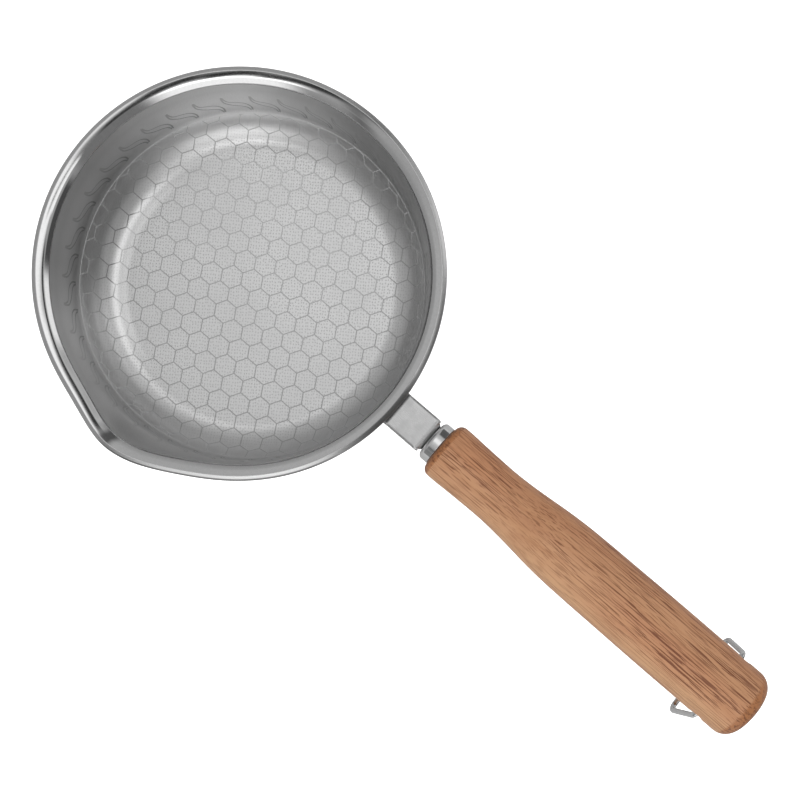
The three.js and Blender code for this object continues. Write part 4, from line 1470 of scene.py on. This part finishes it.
section = [(0.0, WASHER_R[0]), (0.0, WASHER_R[1]), (0.95, WASHER_R[1]), (0.95, WASHER_R[0])]
turns_w = np.radians(np.linspace(WASHER_SPLIT / 2, 360 - WASHER_SPLIT / 2, 49))
verts, faces = [], []
for k, w in enumerate(turns_w):
    rise = 0.03 + 0.3 * k / (len(turns_w) - 1)
    verts += [(WASHER[0] + rise + a, r * math.sin(w), r * math.cos(w)) for a, r in section]
for k in range(len(turns_w) - 1):
    for i in range(4):
        j = (i + 1) % 4
        faces.append((4 * k + i, 4 * k + j, 4 * k + 4 + j, 4 * k + 4 + i))
last_w = 4 * (len(turns_w) - 1)
faces += [(3, 2, 1, 0), tuple(last_w + i for i in range(4))]
washer = make_object("split_washer", to_pan(verts), faces, None, [plated("plated_washer_steel", (0.505, 0.505, 0.505), 0.34, (0.44, 0.44, 0.44))])
facing = bmesh.new()
facing.from_mesh(washer.data)
bmesh.ops.recalc_face_normals(facing, faces=facing.faces)
facing.to_mesh(washer.data)
facing.free()
take(eased(washer, 0.12, 50.0), "pan", "spring_washer")

brass, nt, b = node_material("turned_brass")
n = Nodes(nt)
q = handle_coords(n)
ring_marks = n.noise(n.mapping(q, scale=(1.0, 0.05, 0.05)), 3000.0, 3.0, 0.6)
tarnish = n.noise(q, 200.0, 3.0, 0.6)
tone = n.mix(n.remap(ring_marks, 0.3, 0.7, 0.0, 1.0), (0.56, 0.40, 0.15), (0.70, 0.53, 0.24))
n.link(n.mix(n.remap(tarnish, 0.45, 0.75, 0.0, 0.5), tone, (0.38, 0.27, 0.12)), b.inputs["Base Color"])
n.link(n.remap(tarnish, 0.3, 0.7, 0.22, 0.4), b.inputs["Roughness"])
b.inputs["Metallic"].default_value = 1.0
n.link(n.bump(ring_marks, 0.15, 0.00005), b.inputs["Normal"])
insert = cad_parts["threaded_insert"]
insert.data.materials.clear()
insert.data.materials.append(brass)


# ---------------------------------------------------------------- hanging loop: bent wire, its two ends in the cross hole
def loop_object(material):
    low = LOOP_TOP + (LOOP_WIDE - LOOP_TOP) * LOOP_DEEP / (LOOP_DEEP - LOOP_ROUNDS[1])
    corners = [(LOOP_END, 0.0), (LOOP_TOP, 0.0), (low, LOOP_DEEP), (-low, LOOP_DEEP), (-LOOP_TOP, 0.0), (-LOOP_END, 0.0)]
    rounds = [0, LOOP_ROUNDS[0], LOOP_ROUNDS[1], LOOP_ROUNDS[1], LOOP_ROUNDS[0], 0]
    line = [np.array(corners[0])]
    for i in range(1, 5):
        p, q, r = (np.array(corners[k]) for k in (i - 1, i, i + 1))
        u, v = unit(p - q), unit(r - q)
        angle = math.acos(float(np.clip(u @ v, -1, 1)))
        reach = rounds[i] / math.tan(angle / 2)
        centre = q + unit(u + v) * rounds[i] / math.sin(angle / 2)
        a, b = q + u * reach, q + v * reach
        t0 = math.atan2(*(a - centre)[::-1])
        t1 = math.atan2(*(b - centre)[::-1])
        d = (t1 - t0 + math.pi) % (2 * math.pi) - math.pi
        for f in np.linspace(0, 1, 13):
            line.append(centre + rounds[i] * np.array([math.cos(t0 + d * f), math.sin(t0 + d * f)]))
    line.append(np.array(corners[-1]))
    k = rad(LOOP_SKEW)
    hole = to_pan((HOLE_A, 0, 0))
    spine = []
    for y, d in line:
        across = y * math.cos(k) - d * math.sin(k) + LOOP_SHIFT
        down = LOOP_SLACK[1] - (d * math.cos(k) + y * math.sin(k))
        spine.append(hole + np.array([LOOP_SLACK[0], across, down]))
    spine = np.array(spine)
    # short steps at the ends for their rounding, then even steps along the wire
    dense = [spine[0]]
    for p, q in zip(spine, spine[1:]):
        n_steps = max(1, int(np.linalg.norm(q - p) / 1.6))
        dense += [p + (q - p) * i / n_steps for i in range(1, n_steps + 1)]
    spine = np.array(dense)
    tan = unit(np.gradient(spine, axis=0))
    side = np.array([1.0, 0, 0])
    ring_n = 20
    w = np.linspace(0, 2 * math.pi, ring_n, endpoint=False)
    mesh = Mesh()
    rows, normals = [], []

    def ring(c, t, r, away, e):
        b_ = unit(np.cross(t, side))
        out = np.cos(w)[:, None] * side + np.sin(w)[:, None] * b_
        rows.append(mesh.add(c + out * r))
        normals.append(out * math.sin(rad(e)) + away * math.cos(rad(e)))

    edge = 0.3
    for e in (0.0, 30.0, 60.0, 90.0):
        at = spine[0] + tan[0] * edge * (1 - math.cos(rad(e)))
        ring(at, tan[0], WIRE_R - edge + edge * math.sin(rad(e)), -tan[0], e)
    for c, t in zip(spine[1:-1], tan[1:-1]):
        ring(c, t, WIRE_R, t, 90.0)
    for e in (90.0, 60.0, 30.0, 0.0):
        at = spine[-1] - tan[-1] * edge * (1 - math.cos(rad(e)))
        ring(at, tan[-1], WIRE_R - edge + edge * math.sin(rad(e)), tan[-1], e)
    for i in range(len(rows) - 1):
        mesh.strip(rows[i], rows[i + 1], normals[i], normals[i + 1])
    for r, t, p in ((rows[0], -tan[0], spine[0]), (rows[-1], tan[-1], spine[-1])):
        c = mesh.add([p])[0]
        for j in range(ring_n):
            mesh.face((r[j], r[(j + 1) % ring_n], c), (t, t, t))
    return make_object("wire_loop", mesh.v, mesh.f, mesh.n, [material])


def wire_material():
    m, nt, b = node_material("drawn_wire_steel")
    n = Nodes(nt)
    p = n.object_coords()
    fine = n.noise(p, 2600.0, 3.0, 0.6)
    rub = n.noise(p, 180.0, 3.0, 0.6)
    tone = n.mix(n.remap(fine, 0.3, 0.7, 0.0, 1.0), (0.605, 0.605, 0.605), (0.725, 0.725, 0.725))
    n.link(n.mix(n.remap(rub, 0.45, 0.75, 0.0, 0.4), tone, (0.505, 0.505, 0.505)), b.inputs["Base Color"])
    n.link(n.remap(rub, 0.3, 0.7, 0.16, 0.26), b.inputs["Roughness"])
    b.inputs["Metallic"].default_value = 1.0
    n.link(n.bump(fine, 0.06, 0.00005), b.inputs["Normal"])
    return m


take(loop_object(wire_material()), "loop", "hanging_loop")

# ---------------------------------------------------------------- floor, light, camera
ANGLE = rad(40.56) + 0.00306
right0 = Vector((math.cos(ANGLE), math.sin(ANGLE), 0))
up0 = Vector((-math.sin(ANGLE), math.cos(ANGLE), 0))
forward = (Vector((0, 0, -1)) + 0.002404 * right0 + 0.01721 * up0).normalized()
right = (right0 - forward * right0.dot(forward)).normalized()
up = right.cross(forward)
cam_data = bpy.data.cameras.new("camera")
cam_data.sensor_width = 36.0
cam_data.lens = 1126.5 / 800 * 36.0
cam_data.clip_start = 0.01
camera = bpy.data.objects.new("camera", cam_data)
bpy.context.scene.collection.objects.link(camera)
camera.matrix_world = Matrix(
    (
        (right.x, up.x, -forward.x, 0.08315),
        (right.y, up.y, -forward.y, -0.00304),
        (right.z, up.z, -forward.z, 0.48736),
        (0, 0, 0, 1),
    )
)
bpy.context.scene.camera = camera

floor_mesh = bpy.data.meshes.new("floor")
floor_mesh.from_pydata([(-3, -3, 0), (3, -3, 0), (3, 3, 0), (-3, 3, 0)], [], [(0, 1, 2, 3)])
floor = bpy.data.objects.new("floor", floor_mesh)
bpy.context.scene.collection.objects.link(floor)
m, nt, b = node_material("pale_floor")
b.inputs["Base Color"].default_value = (0.45, 0.45, 0.45, 1)
b.inputs["Roughness"].default_value = 0.9
# the paper is lit from behind, as in a product photograph: the lens sees it white, the steel sees it pale grey
b.inputs["Emission Color"].default_value = (1, 1, 1, 1)
n = Nodes(nt)
n.link(n.math("MULTIPLY", n.new("ShaderNodeLightPath").outputs["Is Camera Ray"], 1.1), b.inputs["Emission Strength"])
floor_mesh.materials.append(m)

# Studio: a soft dome with a few soft boxes and dark gaps between them, by compass direction and elevation in degrees.
world = bpy.data.worlds.new("studio")
bpy.context.scene.world = world
world.use_nodes = True
world.cycles.sampling_method = "MANUAL"
world.cycles.sample_map_resolution = 1024
wt = world.node_tree
wt.nodes.clear()
w = Nodes(wt)
direction = w.new("ShaderNodeTexCoord").outputs["Generated"]
sep = w.new("ShaderNodeSeparateXYZ")
w.link(direction, sep.inputs[0])
compass = w.math("MULTIPLY", w.math("ARCTAN2", sep.outputs[1], sep.outputs[0]), 180 / math.pi)
elevation = w.math("MULTIPLY", w.math("ARCSINE", sep.outputs[2]), 180 / math.pi)
# the big light overhead hangs a little to one side
HUNG = (math.cos(rad(130)) * math.cos(rad(80)), math.sin(rad(130)) * math.cos(rad(80)), math.sin(rad(80)))
hung = w.math("MULTIPLY", w.math("ARCSINE", w.vmath("DOT_PRODUCT", direction, HUNG, out=1)), 180 / math.pi)


def band(value, low, high, soft):
    up_ = w.new("ShaderNodeMapRange", interpolation_type="SMOOTHSTEP")
    down = w.new("ShaderNodeMapRange", interpolation_type="SMOOTHSTEP")
    for node, at, a, b in ((up_, low, 0.0, 1.0), (down, high, 1.0, 0.0)):
        w.link(value, node.inputs[0])
        node.inputs[1].default_value = at - soft
        node.inputs[2].default_value = at + soft
        node.inputs[3].default_value = a
        node.inputs[4].default_value = b
    return w.math("MULTIPLY", up_.outputs[0], down.outputs[0])


def dome(stops):
    """Light by height towards the overhead light: (degrees, radiance)."""
    curve = w.new("ShaderNodeFloatCurve")
    w.link(w.remap(hung, -10.0, 90.0, 0.0, 1.0), curve.inputs["Value"])
    c = curve.mapping.curves[0]
    pts = [((e + 10) / 100, v / 2) for e, v in stops]
    while len(c.points) < len(pts):
        c.points.new(0.5, 0.5)
    for q, (x, y) in zip(c.points, pts):
        q.location = (x, y)
    curve.mapping.update()
    return w.math("MULTIPLY", curve.outputs[0], 2.0)


def patch(light, az, el, soft, radiance):
    """Lays a soft-edged box of light, or of dark, over what is there."""
    middle, half = (az[0] + az[1]) / 2, (az[1] - az[0]) / 2
    off = w.math("WRAP", w.math("SUBTRACT", compass, middle), 180.0, -180.0)
    mask = w.math("MULTIPLY", band(off, -half, half, soft[0]), band(elevation, el[0], el[1], soft[1]))
    keep = w.math("MULTIPLY", light, w.math("SUBTRACT", 1.0, mask))
    return w.math("ADD", keep, w.math("MULTIPLY", mask, radiance))


light = dome(
    [(-10, 0.36), (5, 0.42), (18, 0.46), (30, 0.52), (40, 0.57), (50, 0.61), (62, 0.68), (70, 0.78), (76, 0.97), (81, 1.28), (90, 1.38)]
)
light = patch(light, (135, 225), (24, 37), (14, 5), 0.62)
light = patch(light, (-82, -38), (56, 73), (12, 6), 2.5)
light = patch(light, (-75, -28), (3, 34), (7, 3), 1.5)
light = patch(light, (-80, -30), (34, 45), (7, 2.5), 2.6)
light = patch(light, (-50, -20), (46.8, 51.8), (8, 1.4), 0.04)
light = patch(light, (-70, -46), (44.2, 49.4), (6, 1.5), 0.04)
light = patch(light, (-112, -64), (41.5, 47), (6, 1.6), 0.05)
light = patch(light, (-24, 9), (4, 50), (4, 1.5), 0.26)
light = patch(light, (-26, 9), (51.6, 58), (5, 1.0), 1.25)
light = patch(light, (-30, -6), (46.8, 49.8), (5, 1.0), 0.05)
light = patch(light, (8, 82), (45, 55), (5, 2.5), 1.5)
light = patch(light, (66, 96), (42.6, 56), (6, 1.5), 1.5)
light = patch(light, (40, 90), (34, 41.5), (6, 1.8), 0.06)
light = patch(light, (48, 82), (3, 29), (4, 3), 1.3)
light = patch(light, (72, 83), (3, 29), (4, 3), 0.6)
light = patch(light, (7, 29), (40, 47.6), (2, 1.2), 1.5)
light = patch(light, (-4, 30), (48.3, 49.7), (5, 0.7), 0.32)
light = patch(light, (14, 46), (-8, 29), (4, 3), 0.1)
light = patch(light, (92, 106), (-2, 46), (4, 6), 0.13)
light = patch(light, (-103, -95), (30, 62), (5, 6), 0.24)
light = patch(light, (-103, -95), (0, 28), (5, 3), 0.2)
background = w.new("ShaderNodeBackground")
plain = w.new("ShaderNodeBackground")
plain.inputs[0].default_value = (1, 1, 1, 1)
plain.inputs[1].default_value = 1.0
w.link(light, background.inputs[1])
choose = w.new("ShaderNodeMixShader")
w.link(w.new("ShaderNodeLightPath").outputs["Is Camera Ray"], choose.inputs[0])
w.link(background.outputs[0], choose.inputs[1])
w.link(plain.outputs[0], choose.inputs[2])
w.link(choose.outputs[0], w.new("ShaderNodeOutputWorld").inputs[0])

# soft lights above and on both sides, for the wood; the steel mirrors the studio only
for name, wide, watts, at in (
    ("overhead_light", 1.2, 9.5, (0.17, -0.2, 1.5)),
    ("spout_side_light", 0.8, 4.0, (0.17, -0.9, 0.35)),
    ("far_side_light", 0.8, 4.0, (0.17, 0.9, 0.35)),
):
    data = bpy.data.lights.new(name, "AREA")
    data.shape = "DISK"
    data.size = wide
    data.energy = watts
    lamp = bpy.data.objects.new(name, data)
    bpy.context.scene.collection.objects.link(lamp)
    lamp.location = at
    lamp.rotation_euler = (Vector((0.17, 0, 0.06)) - lamp.location).to_track_quat("-Z", "Y").to_euler()
    lamp.visible_glossy = False
    lamp.visible_camera = False

scene = bpy.context.scene
scene.view_settings.view_transform = "Standard"
scene.cycles.use_denoising = True
